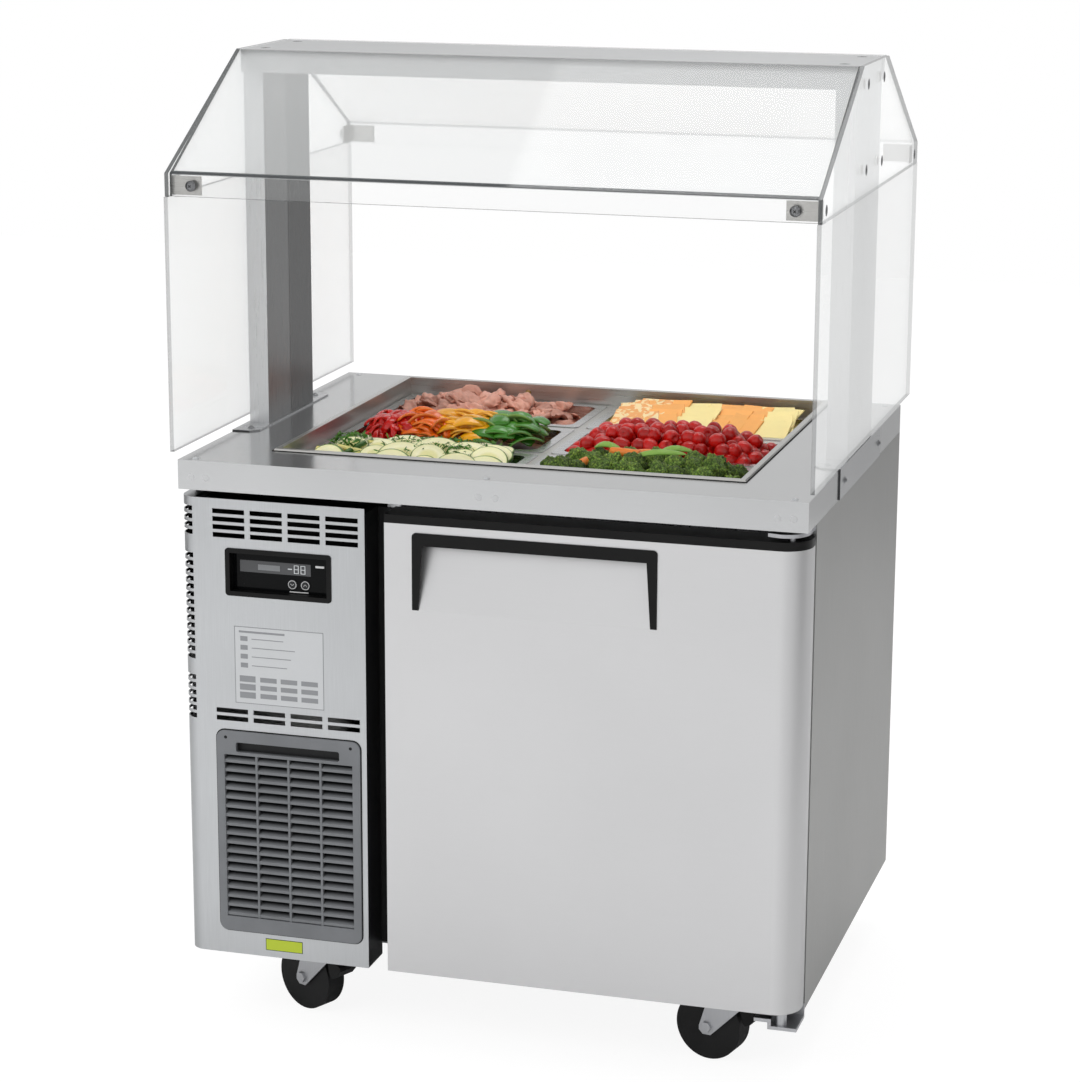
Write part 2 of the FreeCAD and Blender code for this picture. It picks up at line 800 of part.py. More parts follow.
def make_panel_bracket():
    """Black folded bracket: a recessed top shelf and a deep right cheek behind the panel."""
    body = start_body("panel_bracket")
    t, drop = 1.5, 8
    right = MACHINE_RIGHT - S.clearance
    left = LEFT + S.machine_corner + t
    front = FRONT + S.machine_sheet
    # A rear flange ties the cheek to the face of the frame.
    pad(body, "XY_Plane", S.door_bottom + 20, MACHINE_TOP - drop - t - S.door_bottom - 20,
        lambda s: rectangle(s, right - t, MULLION_X + 12, FRAME - t, FRAME))
    pad(body, "XZ_Plane", -FRAME, FRAME - front, lambda s: outline(s, [
        (right, S.door_bottom), (right, MACHINE_TOP - drop), (left, MACHINE_TOP - drop),
        (left, MACHINE_TOP - drop - t), (right - t, MACHINE_TOP - drop - t),
        (right - t, S.door_bottom)]))
    node(body, "panel_bracket")


CONTROL_RIGHT = CONTROL_LEFT + S.control_width
CONTROL_TOP = TOP - S.control_drop
CONTROL_FOOT = CONTROL_TOP - S.control_height
LENS_FACE = FRONT + S.control_recess - S.lens_sheet
BUTTON_Z = TOP - S.button_drop
BUTTON_DOWN_X = CONTROL_LEFT + S.button_inset
BUTTON_X = {"button_down": BUTTON_DOWN_X, "button_up": BUTTON_DOWN_X + S.button_pitch}


def make_control_box():
    """Black housing: a flange on the panel, a deep body behind it and a recessed window."""
    body = start_body("control_box")
    f, gap = S.control_flange, S.clearance
    flange = 1.5

    pad(body, "XZ_Plane", -FRONT, flange, lambda s: rectangle(
        s, CONTROL_LEFT, CONTROL_RIGHT, CONTROL_FOOT, CONTROL_TOP, 5))
    pad(body, "XZ_Plane", -FRONT, S.control_depth, lambda s: rectangle(
        s, CONTROL_LEFT + f + gap, CONTROL_RIGHT - f - gap,
        CONTROL_FOOT + f + gap, CONTROL_TOP - f - gap), back=True)
    wall = f + gap + 1.5
    pocket(body, "XZ_Plane", -FRONT + flange, S.control_recess + flange, lambda s: rectangle(
        s, CONTROL_LEFT + wall, CONTROL_RIGHT - wall, CONTROL_FOOT + wall, CONTROL_TOP - wall))

    def wells(sketch):
        for x in BUTTON_X.values():
            circle(sketch, x, BUTTON_Z, S.button_radius + S.button_gap)

    pocket(body, "XZ_Plane", -FRONT - S.control_recess, 6, wells)
    node(body, "control_box")


def make_display_lens():
    """Smoked cover plate on the floor of the window, with two button holes."""
    body = start_body("display_lens")
    wall = S.control_flange + S.clearance * 2 + 1.5
    pad(body, "XZ_Plane", -LENS_FACE, S.lens_sheet, lambda s: rectangle(
        s, CONTROL_LEFT + wall, CONTROL_RIGHT - wall,
        CONTROL_FOOT + wall, CONTROL_TOP - wall), back=True)

    def holes(sketch):
        for x in BUTTON_X.values():
            circle(sketch, x, BUTTON_Z, S.button_radius + S.button_gap)

    pocket(body, "XZ_Plane", -LENS_FACE, S.lens_sheet, holes)
    node(body, "display_lens")


def make_button(name):
    """Round key that stands a little proud of the lens."""
    cap = cylinder(name, (BUTTON_X[name], LENS_FACE - 1.5, BUTTON_Z), S.button_radius, 6, "Y")
    node(cap, name)


FIELD_LEFT = GRILLE_LEFT + S.grille_border
FIELD_RIGHT = GRILLE_LEFT + S.grille_width - S.grille_border
FIELD_TOP = TOP - S.grille_drop - S.grille_field_drop
LOUVRES = 18


def make_intake_grille():
    """Moulded grille: framed field of slanted louvres between ribs, and a finger grip."""
    body = start_body("intake_grille")
    left, right = GRILLE_LEFT, GRILLE_LEFT + S.grille_width
    top = TOP - S.grille_drop
    foot = top - S.grille_height
    gap, g = S.clearance, S.grille_flange + S.clearance
    face = -FRONT + S.grille_face
    pad(body, "XZ_Plane", -FRONT + gap, S.grille_face - gap,
        lambda s: rectangle(s, left, right, foot, top, S.grille_corner))
    pad(body, "XZ_Plane", -FRONT + gap, S.grille_depth, lambda s: rectangle(
        s, left + g, right - g, foot + g, top - g, S.grille_corner - g + gap), back=True)
    field_foot = FIELD_TOP - LOUVRES * S.louvre_pitch
    pocket(body, "XZ_Plane", face, S.grille_face + S.grille_depth,
           lambda s: rectangle(s, FIELD_LEFT, FIELD_RIGHT, field_foot, FIELD_TOP))
    pocket(body, "XZ_Plane", face, S.grip_depth, lambda s: rectangle(
        s, GRIP_LEFT, GRIP_LEFT + S.grip_width,
        top - S.grip_drop - S.grip_height, top - S.grip_drop, 3))
    # One louvre leans down and forwards; the rest follow at the louvre pitch.
    y_front, y_rear = FRONT - S.grille_face + 1.5, FRONT + S.grille_depth - 2
    z = FIELD_TOP - S.louvre_sheet * 0.4
    blade = pad(body, "YZ_Plane", FIELD_LEFT, FIELD_RIGHT - FIELD_LEFT, lambda s: outline(s, [
        (y_front, z - S.louvre_slant - S.louvre_sheet), (y_front, z - S.louvre_slant),
        (y_rear, z), (y_rear, z - S.louvre_sheet)]))
    row_of(body, blade, "Z_Axis", S.louvre_pitch, LOUVRES, back=True)

    def ribs(sketch):
        step = (FIELD_RIGHT - FIELD_LEFT) / 4
        for index in (1, 2, 3):
            x = FIELD_LEFT + index * step
            rectangle(sketch, x - S.rib_width / 2, x + S.rib_width / 2, field_foot, FIELD_TOP)

    pad(body, "XZ_Plane", face - 1, S.grille_depth, ribs, back=True)
    node(body, "intake_grille")


# ---------------------------------------------------------------------------------------------
# Refrigeration circuit
# ---------------------------------------------------------------------------------------------
CONDENSER_X = (LEFT + MULLION_X) / 2
CONDENSER_FRONT = FRAME + 4
CONDENSER_REAR = CONDENSER_FRONT + S.condenser_thickness
FAN_Z = FLOOR_PLATE + S.condenser_height / 2
SHROUD_SHEET = 1.5


def finned_block(name, x, y, z, fin_axis_count):
    """Block cut into parallel fins that run up, held by a spine along the back."""
    body = start_body(name)
    spine = 4
    pad(body, "XY_Plane", z[0], Length.of(z[1]) - z[0],
        lambda s: rectangle(s, x[0], x[1], y[0], y[1]))
    inset = (Length.of(x[1]) - x[0] - (fin_axis_count - 1) * S.fin_pitch - S.fin_gap) / 2
    gap = pocket(body, "XY_Plane", z[1], Length.of(z[1]) - z[0], lambda s: rectangle(
        s, x[0] + inset, x[0] + inset + S.fin_gap, y[0], Length.of(y[1]) - spine))
    row_of(body, gap, "X_Axis", S.fin_pitch, fin_axis_count)
    return body


def make_condenser_coil():
    """Finned condenser on the base, with the header tube at its right end."""
    half = S.condenser_width / 2
    fins = finned_block("condenser_fins", (CONDENSER_X - half, CONDENSER_X + half),
                        (CONDENSER_FRONT, CONDENSER_REAR),
                        (FLOOR_PLATE, FLOOR_PLATE + S.condenser_height), 24)
    header = cylinder("header_tube", (CONDENSER_X + half + S.tube_radius,
                                      CONDENSER_REAR - 2 * S.tube_radius, FLOOR_PLATE),
                      S.tube_radius, S.condenser_height)
    node(group("condenser_coil", [fins, header]), "condenser_coil")


def make_fan_shroud():
    """Sheet with a round orifice behind the coil, and the motor on its bridge."""
    body = start_body("shroud_plate")
    half = S.condenser_width / 2
    y = -CONDENSER_REAR
    ring = S.fan_radius + S.fan_clearance
    top = FLOOR_PLATE + S.condenser_height
    rear = CONDENSER_REAR + S.fan_width + 14
    pad(body, "XZ_Plane", y, SHROUD_SHEET, lambda s: rectangle(
        s, CONDENSER_X - half, CONDENSER_X + half, FLOOR_PLATE, top), back=True)
    pocket(body, "XZ_Plane", y, SHROUD_SHEET, lambda s: circle(s, CONDENSER_X, FAN_Z, ring))
    # A bridge over the orifice carries the motor behind the fan.
    low, high = FAN_Z - half + 3, FAN_Z + half - 3
    plate = CONDENSER_REAR + SHROUD_SHEET
    pad(body, "YZ_Plane", CONDENSER_X - 12, 24, lambda s: outline(s, [
        (plate, low), (rear + 3, low), (rear + 3, high), (plate, high), (plate, high - 3),
        (rear, high - 3), (rear, low + 3), (plate, low + 3)]))
    pocket(body, "XZ_Plane", -rear, 3,
           lambda s: circle(s, CONDENSER_X, FAN_Z, S.shaft_radius + 2))
    frame = 30
    motor = box("motor_frame", (CONDENSER_X - frame, CONDENSER_X + frame),
                (rear + 3, rear + 61), (FAN_Z - frame, FAN_Z + frame))
    bore = cylinder("motor_bore", (CONDENSER_X, rear + 3, FAN_Z),
                    S.shaft_radius + S.pin_clearance, 20, "Y")
    node(group("fan_shroud", [body, cut("fan_motor", motor, [bore])]), "fan_shroud")


def fan_body(name, radius, hub, width, tail):
    """Axial fan on its own Z axis: hub, five pitched blades and the shaft behind."""
    body = start_body(name)
    pad(body, "XY_Plane", 0, width, lambda s: circle(s, 0, 0, hub))
    pad(body, "XY_Plane", width, tail, lambda s: circle(s, 0, 0, S.shaft_radius))
    sheet = 1.6
    half, rise, middle = radius * 0.3, width * 0.35, (width - sheet) / 2
    blade = pad(body, "YZ_Plane", hub * 0.8, radius - hub, lambda s: outline(s, [
        (-half, middle - rise), (half, middle + rise),
        (half, middle + rise + sheet), (-half, middle - rise + sheet)]))
    ring_of(body, blade, "Z_Axis", 5)
    return body


def make_condenser_fan():
    body = fan_body("condenser_fan", S.fan_radius, S.fan_hub, S.fan_width, 27)
    body.Placement = FreeCAD.Placement(FreeCAD.Vector(), TURNS["Y"])
    for letter, place in zip("xyz", (CONDENSER_X, CONDENSER_REAR + 8, FAN_Z)):
        bind(body, f".Placement.Base.{letter}", place)
    node(body, "condenser_fan")


def make_compressor():
    """Hermetic compressor: a round shell on a foot plate with rubber feet, and its lid box."""
    body = start_body("compressor_shell")
    r, height, foot = S.compressor_radius, S.compressor_height, FLOOR_PLATE + 14
    sketch = new_sketch(body, "XZ_Plane")
    outline(sketch, [
        (0, foot), (r, foot), (r, foot + height), (0, foot + height)])
    turned = body.newObject("PartDesign::Revolution", "compressor_can")
    turned.Profile = sketch
    turned.ReferenceAxis = (plane_of(body, "Z_Axis"), [""])
    turned.Angle = 360
    body.Tip = turned
    pad(body, "XY_Plane", foot - 3, 3, lambda s: rectangle(s, -95, 95, -60, 60))
    pad(body, "XZ_Plane", r * 0.9, 34, lambda s: rectangle(
        s, -28, 28, foot + 50, foot + height * 0.7))
    place_body(body, CONDENSER_X, REAR - 190, 0)
    feet = []
    for x in (-80, 80):
        for y in (-45, 45):
            middle = REAR - 190 + y
            feet.append(box("rubber_foot", (CONDENSER_X + x - 9, CONDENSER_X + x + 9),
                            (middle - 9, middle + 9), (FLOOR_PLATE, FLOOR_PLATE + 11)))
    node(group("compressor", [body] + feet), "compressor")


EVAP_LEFT = CELL_LEFT + S.liner_sheet
EVAP_RIGHT = EVAP_LEFT + S.evaporator_thickness
EVAP_Y = (FRAME + CELL_REAR) / 2 + 40
EVAP_TOP = S.compartment_top - S.liner_sheet
EVAP_FOOT = EVAP_TOP - S.evaporator_height
EVAP_FAN_Z = EVAP_TOP - S.evaporator_fan_radius - 24


def make_evaporator():
    """Cover on the left wall with a round blow hole, the finned coil and the fan motor."""
    half, t = S.evaporator_length / 2, 1.5
    shell = box("cover_outer", (EVAP_LEFT, EVAP_RIGHT), (EVAP_Y - half, EVAP_Y + half),
                (EVAP_FOOT, EVAP_TOP))
    inside = box("cover_inner", (EVAP_LEFT - t, EVAP_RIGHT - t),
                 (EVAP_Y - half + t, EVAP_Y + half - t), (EVAP_FOOT + t, EVAP_TOP - t))
    hole = cylinder("cover_hole", (EVAP_RIGHT - t, EVAP_Y, EVAP_FAN_Z),
                    S.evaporator_fan_radius + S.fan_clearance, t, "X")
    slots = [box("cover_slot", (EVAP_RIGHT - t, EVAP_RIGHT),
                 (EVAP_Y - half + 30, EVAP_Y + half - 30),
                 (EVAP_FOOT + 22 + index * 16, EVAP_FOOT + 28 + index * 16))
             for index in range(4)]
    cover = cut("cover_sheet", shell, [inside, hole] + slots)
    frame = 21
    motor = box("evaporator_motor_frame", (EVAP_LEFT, EVAP_LEFT + 28),
                (EVAP_Y - frame, EVAP_Y + frame), (EVAP_FAN_Z - frame, EVAP_FAN_Z + frame))
    bore = cylinder("evaporator_motor_bore", (EVAP_LEFT + 12, EVAP_Y, EVAP_FAN_Z),
                    S.shaft_radius + S.pin_clearance, 16, "X")
    node(group("evaporator_cover", [cover, cut("evaporator_motor", motor, [bore])]),
         "evaporator_cover")

    coil_z = (EVAP_FOOT + 6, EVAP_FAN_Z - S.evaporator_fan_radius - 12)
    body = start_body("evaporator_coil")
    x = (EVAP_LEFT, EVAP_RIGHT - 12)
    y = (EVAP_Y - half + 20, EVAP_Y + half - 20)
    pad(body, "XY_Plane", coil_z[0], coil_z[1] - coil_z[0],
        lambda s: rectangle(s, x[0], x[1], y[0], y[1]))
    gap = pocket(body, "XY_Plane", coil_z[1], coil_z[1] - coil_z[0], lambda s: rectangle(
        s, x[0] + 4, x[1], y[0] + S.fin_pitch, y[0] + 2 * S.fin_pitch))
    row_of(body, gap, "Y_Axis", S.fin_pitch * 2, 15)
    node(body, "evaporator_coil")

    fan = fan_body("evaporator_fan", S.evaporator_fan_radius, S.evaporator_fan_hub,
                   S.evaporator_fan_width, 13)
    # The fan's own Z axis lies along -X, so its shaft runs into the motor.
    fan.Placement = FreeCAD.Placement(
        FreeCAD.Vector(), FreeCAD.Rotation(FreeCAD.Vector(0, 1, 0), -90))
    for letter, place in zip("xyz", (EVAP_LEFT + 30 + S.evaporator_fan_width, EVAP_Y, EVAP_FAN_Z)):
        bind(fan, f".Placement.Base.{letter}", place)
    node(fan, "evaporator_fan")


# ---------------------------------------------------------------------------------------------
# Shelf
# ---------------------------------------------------------------------------------------------
SHELF_FRONT = FRAME + 26
SHELF_REAR = CELL_REAR - S.liner_sheet - 8
SHELF_RESTS = (SHELF_FRONT + 20, SHELF_REAR - 20)
SHELF_LEFT = EVAP_LEFT + S.pilaster_sheet + 3
SHELF_RIGHT = CELL_RIGHT - S.liner_sheet - S.pilaster_sheet - 3


WIRE_SIDES = 8


def make_wire_shelf():
    """Wires that run front to rear, lying on two cross rods."""
    r = S.wire_radius
    rods = [prism("shelf_rod", (SHELF_LEFT, y, S.shelf_height), 1.4 * r,
                  SHELF_RIGHT - SHELF_LEFT, WIRE_SIDES, "X")
            for y in SHELF_RESTS]
    span = SHELF_RIGHT - SHELF_LEFT - 4 * r
    count = int(S.shelf_wire_count.value)
    wires = [prism("shelf_wire", (SHELF_LEFT + 2 * r + span * index / (count - 1), SHELF_FRONT,
                                  S.shelf_height + 2.4 * r), r, SHELF_REAR - SHELF_FRONT,
                   WIRE_SIDES, "Y")
             for index in range(count)]
    node(group("wire_shelf", rods + wires), "wire_shelf")


def make_shelf_supports():
    """Four slotted pilasters on the side walls, each with a clip under the shelf."""
    p, w, t = S.pilaster_sheet, S.pilaster_width, S.liner_sheet
    pieces = []
    for y in SHELF_RESTS:
        for wall, inward in ((EVAP_LEFT, 1), (CELL_RIGHT - t, -1)):
            inner = wall + inward * p
            low_x, high_x = (wall, inner) if inward > 0 else (inner, wall)
            top = EVAP_FOOT - 6
            strip = box("pilaster", (low_x, high_x), (y - w / 2, y + w / 2),
                        (S.sill_height + t + 12, top))
            reach = inner + inward * S.clip_reach
            low_x, high_x = (inner, reach) if inward > 0 else (reach, inner)
            top_z = S.shelf_height - 1.4 * S.wire_radius
            clip = box("clip", (low_x, high_x), (y - w / 3, y + w / 3), (top_z - 10, top_z))
            pieces.append(strip)
            pieces.append(clip)
    node(group("shelf_supports", pieces), "shelf_supports")


# ---------------------------------------------------------------------------------------------
# Door and hinges
# ---------------------------------------------------------------------------------------------
HANDLE_RIGHT = HANDLE_LEFT + S.handle_width
HANDLE_TOP = DOOR_TOP - S.handle_drop + S.door_top_gap + 7.5
HANDLE_FOOT = HANDLE_TOP - S.handle_height
HINGE_X = RIGHT - S.hinge_inset_x
HINGE_Y = FRONT + S.hinge_inset_y
DOOR_FOOT = S.door_bottom
CAP_FOOT = DOOR_TOP - S.cap_height


def door_plan(inset):
    """Plan outline of the door: square at the handle side, rolled at the hinge corner."""
    r = S.door_corner
    return lambda s: outline(s, [
        (DOOR_LEFT + inset, FRONT + inset), (RIGHT - r, FRONT + inset, r - inset),
        (RIGHT - inset, FRONT + r), (RIGHT - inset, DOOR_BACK), (DOOR_LEFT + inset, DOOR_BACK)])


def recess_wedge(body, step, grow):
    """The sloping hand recess: deepest under the bar, running out at the foot of the legs."""
    left = HANDLE_LEFT + S.handle_toe / 2 - grow
    width = S.handle_width - S.handle_toe + 2 * grow
    return step(body, "YZ_Plane", left, width, lambda s: outline(s, [
        (FRONT, HANDLE_FOOT - grow), (FRONT + S.recess_depth + grow, HANDLE_TOP + grow),
        (FRONT, HANDLE_TOP + grow)]),
        back=(step is pocket))


def make_door_skin():
    """Outer door sheet with rolled hinge corner and the pressed hand recess."""
    body = start_body("door_skin")
    t = S.door_skin_sheet
    pad(body, "XY_Plane", DOOR_FOOT, CAP_FOOT - DOOR_FOOT, door_plan(0))
    r = S.door_corner
    pocket(body, "XY_Plane", CAP_FOOT, CAP_FOOT - DOOR_FOOT, lambda s: outline(s, [
        (DOOR_LEFT + t, FRONT + t), (RIGHT - r, FRONT + t, r - t),
        (RIGHT - t, FRONT + r), (RIGHT - t, DOOR_BACK), (DOOR_LEFT + t, DOOR_BACK)]))
    recess_wedge(body, pad, t)
    recess_wedge(body, pocket, 0)
    node(body, "door_skin")


def make_door_inner_panel():
    """Foam-filled door: fills the skin, and its back has a raised dyke inside the gasket."""
    t, r = S.door_skin_sheet, S.door_corner
    body = start_body("door_inner_panel")
    low, high = DOOR_FOOT + S.cap_height, CAP_FOOT
    pad(body, "XY_Plane", low, high - low, lambda s: outline(s, [
        (DOOR_LEFT + t, FRONT + t), (RIGHT - r, FRONT + t, r - t),
        (RIGHT - t, FRONT + r), (RIGHT - t, DOOR_BACK), (DOOR_LEFT + t, DOOR_BACK)]))
    recess_wedge(body, pocket, t)
    w = S.gasket_width + 16
    dyke = S.gasket_depth - 2
    pad(body, "XZ_Plane", -DOOR_BACK, dyke, lambda s: rectangle(
        s, CELL_LEFT + w / 2, CELL_RIGHT - w / 2, S.sill_height + w / 2,
        S.compartment_top - w / 2, 8), back=True)
    # Pin holes near the hinge corner.
    hole = S.hinge_pin / 2 + S.pin_clearance
    depth = S.pin_reach
    pocket(body, "XY_Plane", high, depth - S.cap_height + 6,
           lambda s: circle(s, HINGE_X, HINGE_Y, hole + 2))
    pocket(body, "XY_Plane", low, depth - S.cap_height + 6,
           lambda s: circle(s, HINGE_X, HINGE_Y, hole + 2), back=True)
    node(body, "door_inner_panel")


def make_door_end_caps():
    """Black moulded caps that hold the hinge bushes: one on the head, one inside the foot."""
    caps = []
    hole = S.hinge_pin / 2 + S.pin_clearance
    for name, low, inset in (("cap_head", CAP_FOOT, 0), ("cap_foot", DOOR_FOOT, S.door_skin_sheet)):
        body = start_body(name)
        pad(body, "XY_Plane", low, S.cap_height, door_plan(inset))
        pocket(body, "XY_Plane", low + S.cap_height, S.cap_height,
               lambda s: circle(s, HINGE_X, HINGE_Y, hole))
        caps.append(body)
    node(group("door_end_caps", caps), "door_end_caps")


def make_door_gasket():
    """Magnetic gasket: a frame on the door's back that meets the face of the cabinet."""
    body = start_body("door_gasket")
    w, lap = S.gasket_width, 4
    x0, x1 = CELL_LEFT - lap - w / 2, CELL_RIGHT + lap
    z0, z1 = S.sill_height - w, S.compartment_top + w
    pad(body, "XZ_Plane", -DOOR_BACK, S.gasket_depth,
        lambda s: rectangle(s, x0, x1, z0, z1, 6), back=True)
    pocket(body, "XZ_Plane", -DOOR_BACK, S.gasket_depth,
           lambda s: rectangle(s, x0 + w, x1 - w, z0 + w, z1 - w))
    node(body, "door_gasket")


def make_door_handle():
    """Moulded pull: a bar over the recess and two tapering legs with cheeks behind them."""
    body = start_body("door_handle")
    left, right, top, foot = HANDLE_LEFT, HANDLE_RIGHT, HANDLE_TOP, HANDLE_FOOT
    bar, leg, toe, proud = S.handle_bar, S.handle_leg, S.handle_toe, 1.5
    corner = 6
    pad(body, "XZ_Plane", -FRONT, proud, lambda s: outline(s, [
        (left, foot), (left + toe, foot), (left + leg, top - bar),
        (right - leg, top - bar), (right - toe, foot), (right, foot),
        (right, top - corner, corner), (right - corner, top), (left + corner, top, corner),
        (left, top - corner)]))
    # Cheeks fall back from the legs to the sloping floor of the recess.
    c, slack = S.cheek_sheet, S.clearance
    inner_left = left + toe / 2 + slack
    inner_right = right - toe / 2 - slack
    depth = S.recess_depth - 1.5
    for x in (inner_left, inner_right - c):
        pad(body, "YZ_Plane", x, c, lambda s: outline(s, [
            (FRONT, foot + 9), (FRONT + depth, top - slack), (FRONT, top - slack)]))
    # The grip: a hooked lip behind the bar.
    pad(body, "YZ_Plane", inner_left, inner_right - inner_left, lambda s: outline(s, [
        (FRONT, top - slack), (FRONT, top - bar), (FRONT + 4, top - bar),
        (FRONT + 4, top - slack - 3), (FRONT + depth, top - slack - 3),
        (FRONT + depth, top - slack)]))
    node(body, "door_handle")


def make_hinges():
    """Two brackets on the cabinet's face, each with its pin in the door."""
    pin, t = S.hinge_pin / 2, S.hinge_plate
    seat = FRAME
    head = (DOOR_TOP + FASCIA) / 2 - t / 2
    r = S.door_corner
    plate = start_body("upper_plate")
    pad(plate, "XY_Plane", head, t, lambda s: outline(s, [
        (RIGHT - 56, FRONT + 8), (RIGHT - r, FRONT + 4, r - 4), (RIGHT - 4, FRONT + r),
        (RIGHT - 4, seat), (RIGHT - 56, seat)]))
    pad(plate, "XY_Plane", head, head - DOOR_TOP + S.pin_reach,
        lambda s: circle(s, HINGE_X, HINGE_Y, pin), back=True)
    node(plate, "hinge_upper")

    low = DOOR_FOOT - 8
    step = 10
    bracket = start_body("lower_bracket")
    left, bend = HINGE_X - 36, HINGE_X - 12
    pad(bracket, "XZ_Plane", -FRONT - 4, seat - FRONT - 4, lambda s: outline(s, [
        (left, low), (left, low - t), (bend - t, low - t), (bend - t, low - step - t),
        (RIGHT, low - step - t), (RIGHT, low - step), (bend, low - step), (bend, low)]),
        back=True)
    pad(bracket, "XY_Plane", low - step, DOOR_FOOT - S.pin_clearance * 6 - low + step,
        lambda s: circle(s, HINGE_X, HINGE_Y, pin + 4))
    pad(bracket, "XY_Plane", low, DOOR_FOOT - low + S.pin_reach - 6,
        lambda s: circle(s, HINGE_X, HINGE_Y, pin))
    # The rear flange turns up against the frame. It stays low where the door's corner swings,
    # and its left part stops above the wheel, which passes under it as the caster swivels.
    bend_back = HINGE_X - 21
    for x0, x1, foot, top in ((left, bend_back, low - t, FLOOR_PLATE + 6),
                              (bend_back, RIGHT, low - step - t, DOOR_FOOT - 2)):
        pad(bracket, "XY_Plane", foot, top - foot,
            lambda s: rectangle(s, x0, x1, seat - 3, seat))
    node(bracket, "hinge_lower")


# ---------------------------------------------------------------------------------------------
# Food guard
# ---------------------------------------------------------------------------------------------
GLASS_TOP = TOP + S.guard_height
BEND_Z = TOP + S.bend_height
LIP_Z = TOP + S.lip_height
LIP_Y = S.guard_depth / 2
BEAM_Y = S.beam_depth / 2
BEAM_TOP = GLASS_TOP - S.clearance
POST_OUTER = RIGHT - S.post_outer_gap
POST_INNER = POST_OUTER - S.post_width


def make_guard_posts():
    """Each post is two channels, open sides together, with a fine seam between them."""
    t, seam = S.post_sheet, S.post_seam / 2
    deep = BEAM_Y - S.beam_sheet
    foot, top = TOP + S.angle_sheet, BEAM_TOP - S.beam_sheet
    channels = []
    for side in (-1, 1):
        for end in (-1, 1):
            body = start_body("post_channel")
            x0, x1 = (POST_INNER, POST_OUTER) if side > 0 else (-POST_OUTER, -POST_INNER)
            y0 = end * deep
            y1 = end * seam
            pad(body, "XY_Plane", foot, top - foot, lambda s: outline(s, [
                (x0, y0), (x1, y0), (x1, y1), (x1 - t, y1), (x1 - t, y0 - end * t),
                (x0 + t, y0 - end * t), (x0 + t, y1), (x0, y1)]))
            channels.append(body)
    node(group("guard_posts", channels), "guard_posts")


def make_base_angles():
    """Angles under the posts: a foot on the worktop that wraps down over the side fascia."""
    pieces = []
    t, r, half = S.angle_sheet, S.angle_corner, S.angle_depth / 2
    for side in (-1, 1):
        body = start_body("base_angle")
        outer, inner = side * (RIGHT + t), side * (RIGHT - S.angle_width)
        bevel = inner + side * r
        pad(body, "XY_Plane", TOP, t, lambda s: outline(s, [
            (outer, -half), (outer, half), (bevel, half), (inner, half - r),
            (inner, r - half), (bevel, -half)]))
        low, high = (RIGHT, RIGHT + t) if side > 0 else (-RIGHT - t, -RIGHT)
        pad(body, "XY_Plane", FASCIA, S.fascia_height + t,
            lambda s: rectangle(s, low, high, -half, half))
        pieces.append(body)
    node(group("base_angles", pieces), "base_angles")


def make_guard_beam():
    """Inverted channel that caps both posts."""
    body = start_body("guard_beam")
    t = S.beam_sheet
    low = BEAM_TOP - S.beam_height
    reach = GLASS_INSIDE - S.clearance
    pad(body, "YZ_Plane", -reach, 2 * reach, lambda s: outline(s, [
        (-BEAM_Y, low), (t - BEAM_Y, low), (t - BEAM_Y, BEAM_TOP - t), (BEAM_Y - t, BEAM_TOP - t),
        (BEAM_Y - t, low), (BEAM_Y, low), (BEAM_Y, BEAM_TOP), (-BEAM_Y, BEAM_TOP)]))
    node(body, "guard_beam")


def make_bent_glass(name, side):
    """Bent pane: a slope from the beam's edge down to an upright lip."""
    t = S.glass_sheet
    reach = GLASS_INSIDE - S.clearance
    rise = GLASS_TOP - BEND_Z
    run = LIP_Y - BEAM_Y
    length = (rise * rise + run * run).root()
    across = t * length / rise
    inner_bend = BEND_Z - (across - t) * rise / run
    # The pane's underside rests on the beam's top edge.
    top_out, top_in = BEAM_Y + across, BEAM_Y + S.clearance
    body = start_body(name)
    pad(body, "YZ_Plane", -reach, 2 * reach, lambda s: outline(s, [
        (side * top_in, GLASS_TOP), (side * (LIP_Y - t), inner_bend),
        (side * (LIP_Y - t), LIP_Z), (side * LIP_Y, LIP_Z), (side * LIP_Y, BEND_Z),
        (side * (top_out - S.clearance), GLASS_TOP)]))
    node(body, name)


def make_end_glass(name, side):
    """Upper end pane with the guard's profile, in the plane outside the posts."""
    body = start_body(name)
    t, edge = S.glass_sheet, 4
    start = GLASS_INSIDE if side > 0 else -GLASS_INSIDE - t
    pad(body, "YZ_Plane", start, t, lambda s: outline(s, [
        (-BEAM_Y, GLASS_TOP), (-LIP_Y - edge, BEND_Z), (-LIP_Y - edge, LIP_Z),
        (LIP_Y + edge, LIP_Z), (LIP_Y + edge, BEND_Z), (BEAM_Y, GLASS_TOP)]))
    node(body, name)


def make_side_glass():
    """Lower side panes, butted under the end panes and held just above the worktop."""
    panes = []
    half, t = S.side_glass_depth / 2, S.glass_sheet
    for side in (-1, 1):
        body = start_body("side_pane")
        start = GLASS_INSIDE if side > 0 else -GLASS_INSIDE - t
        pad(body, "YZ_Plane", start, t, lambda s: rectangle(
            s, -half, half, TOP + S.side_glass_lift, LIP_Z - S.clearance))
        panes.append(body)
    node(group("side_glass", panes), "side_glass")


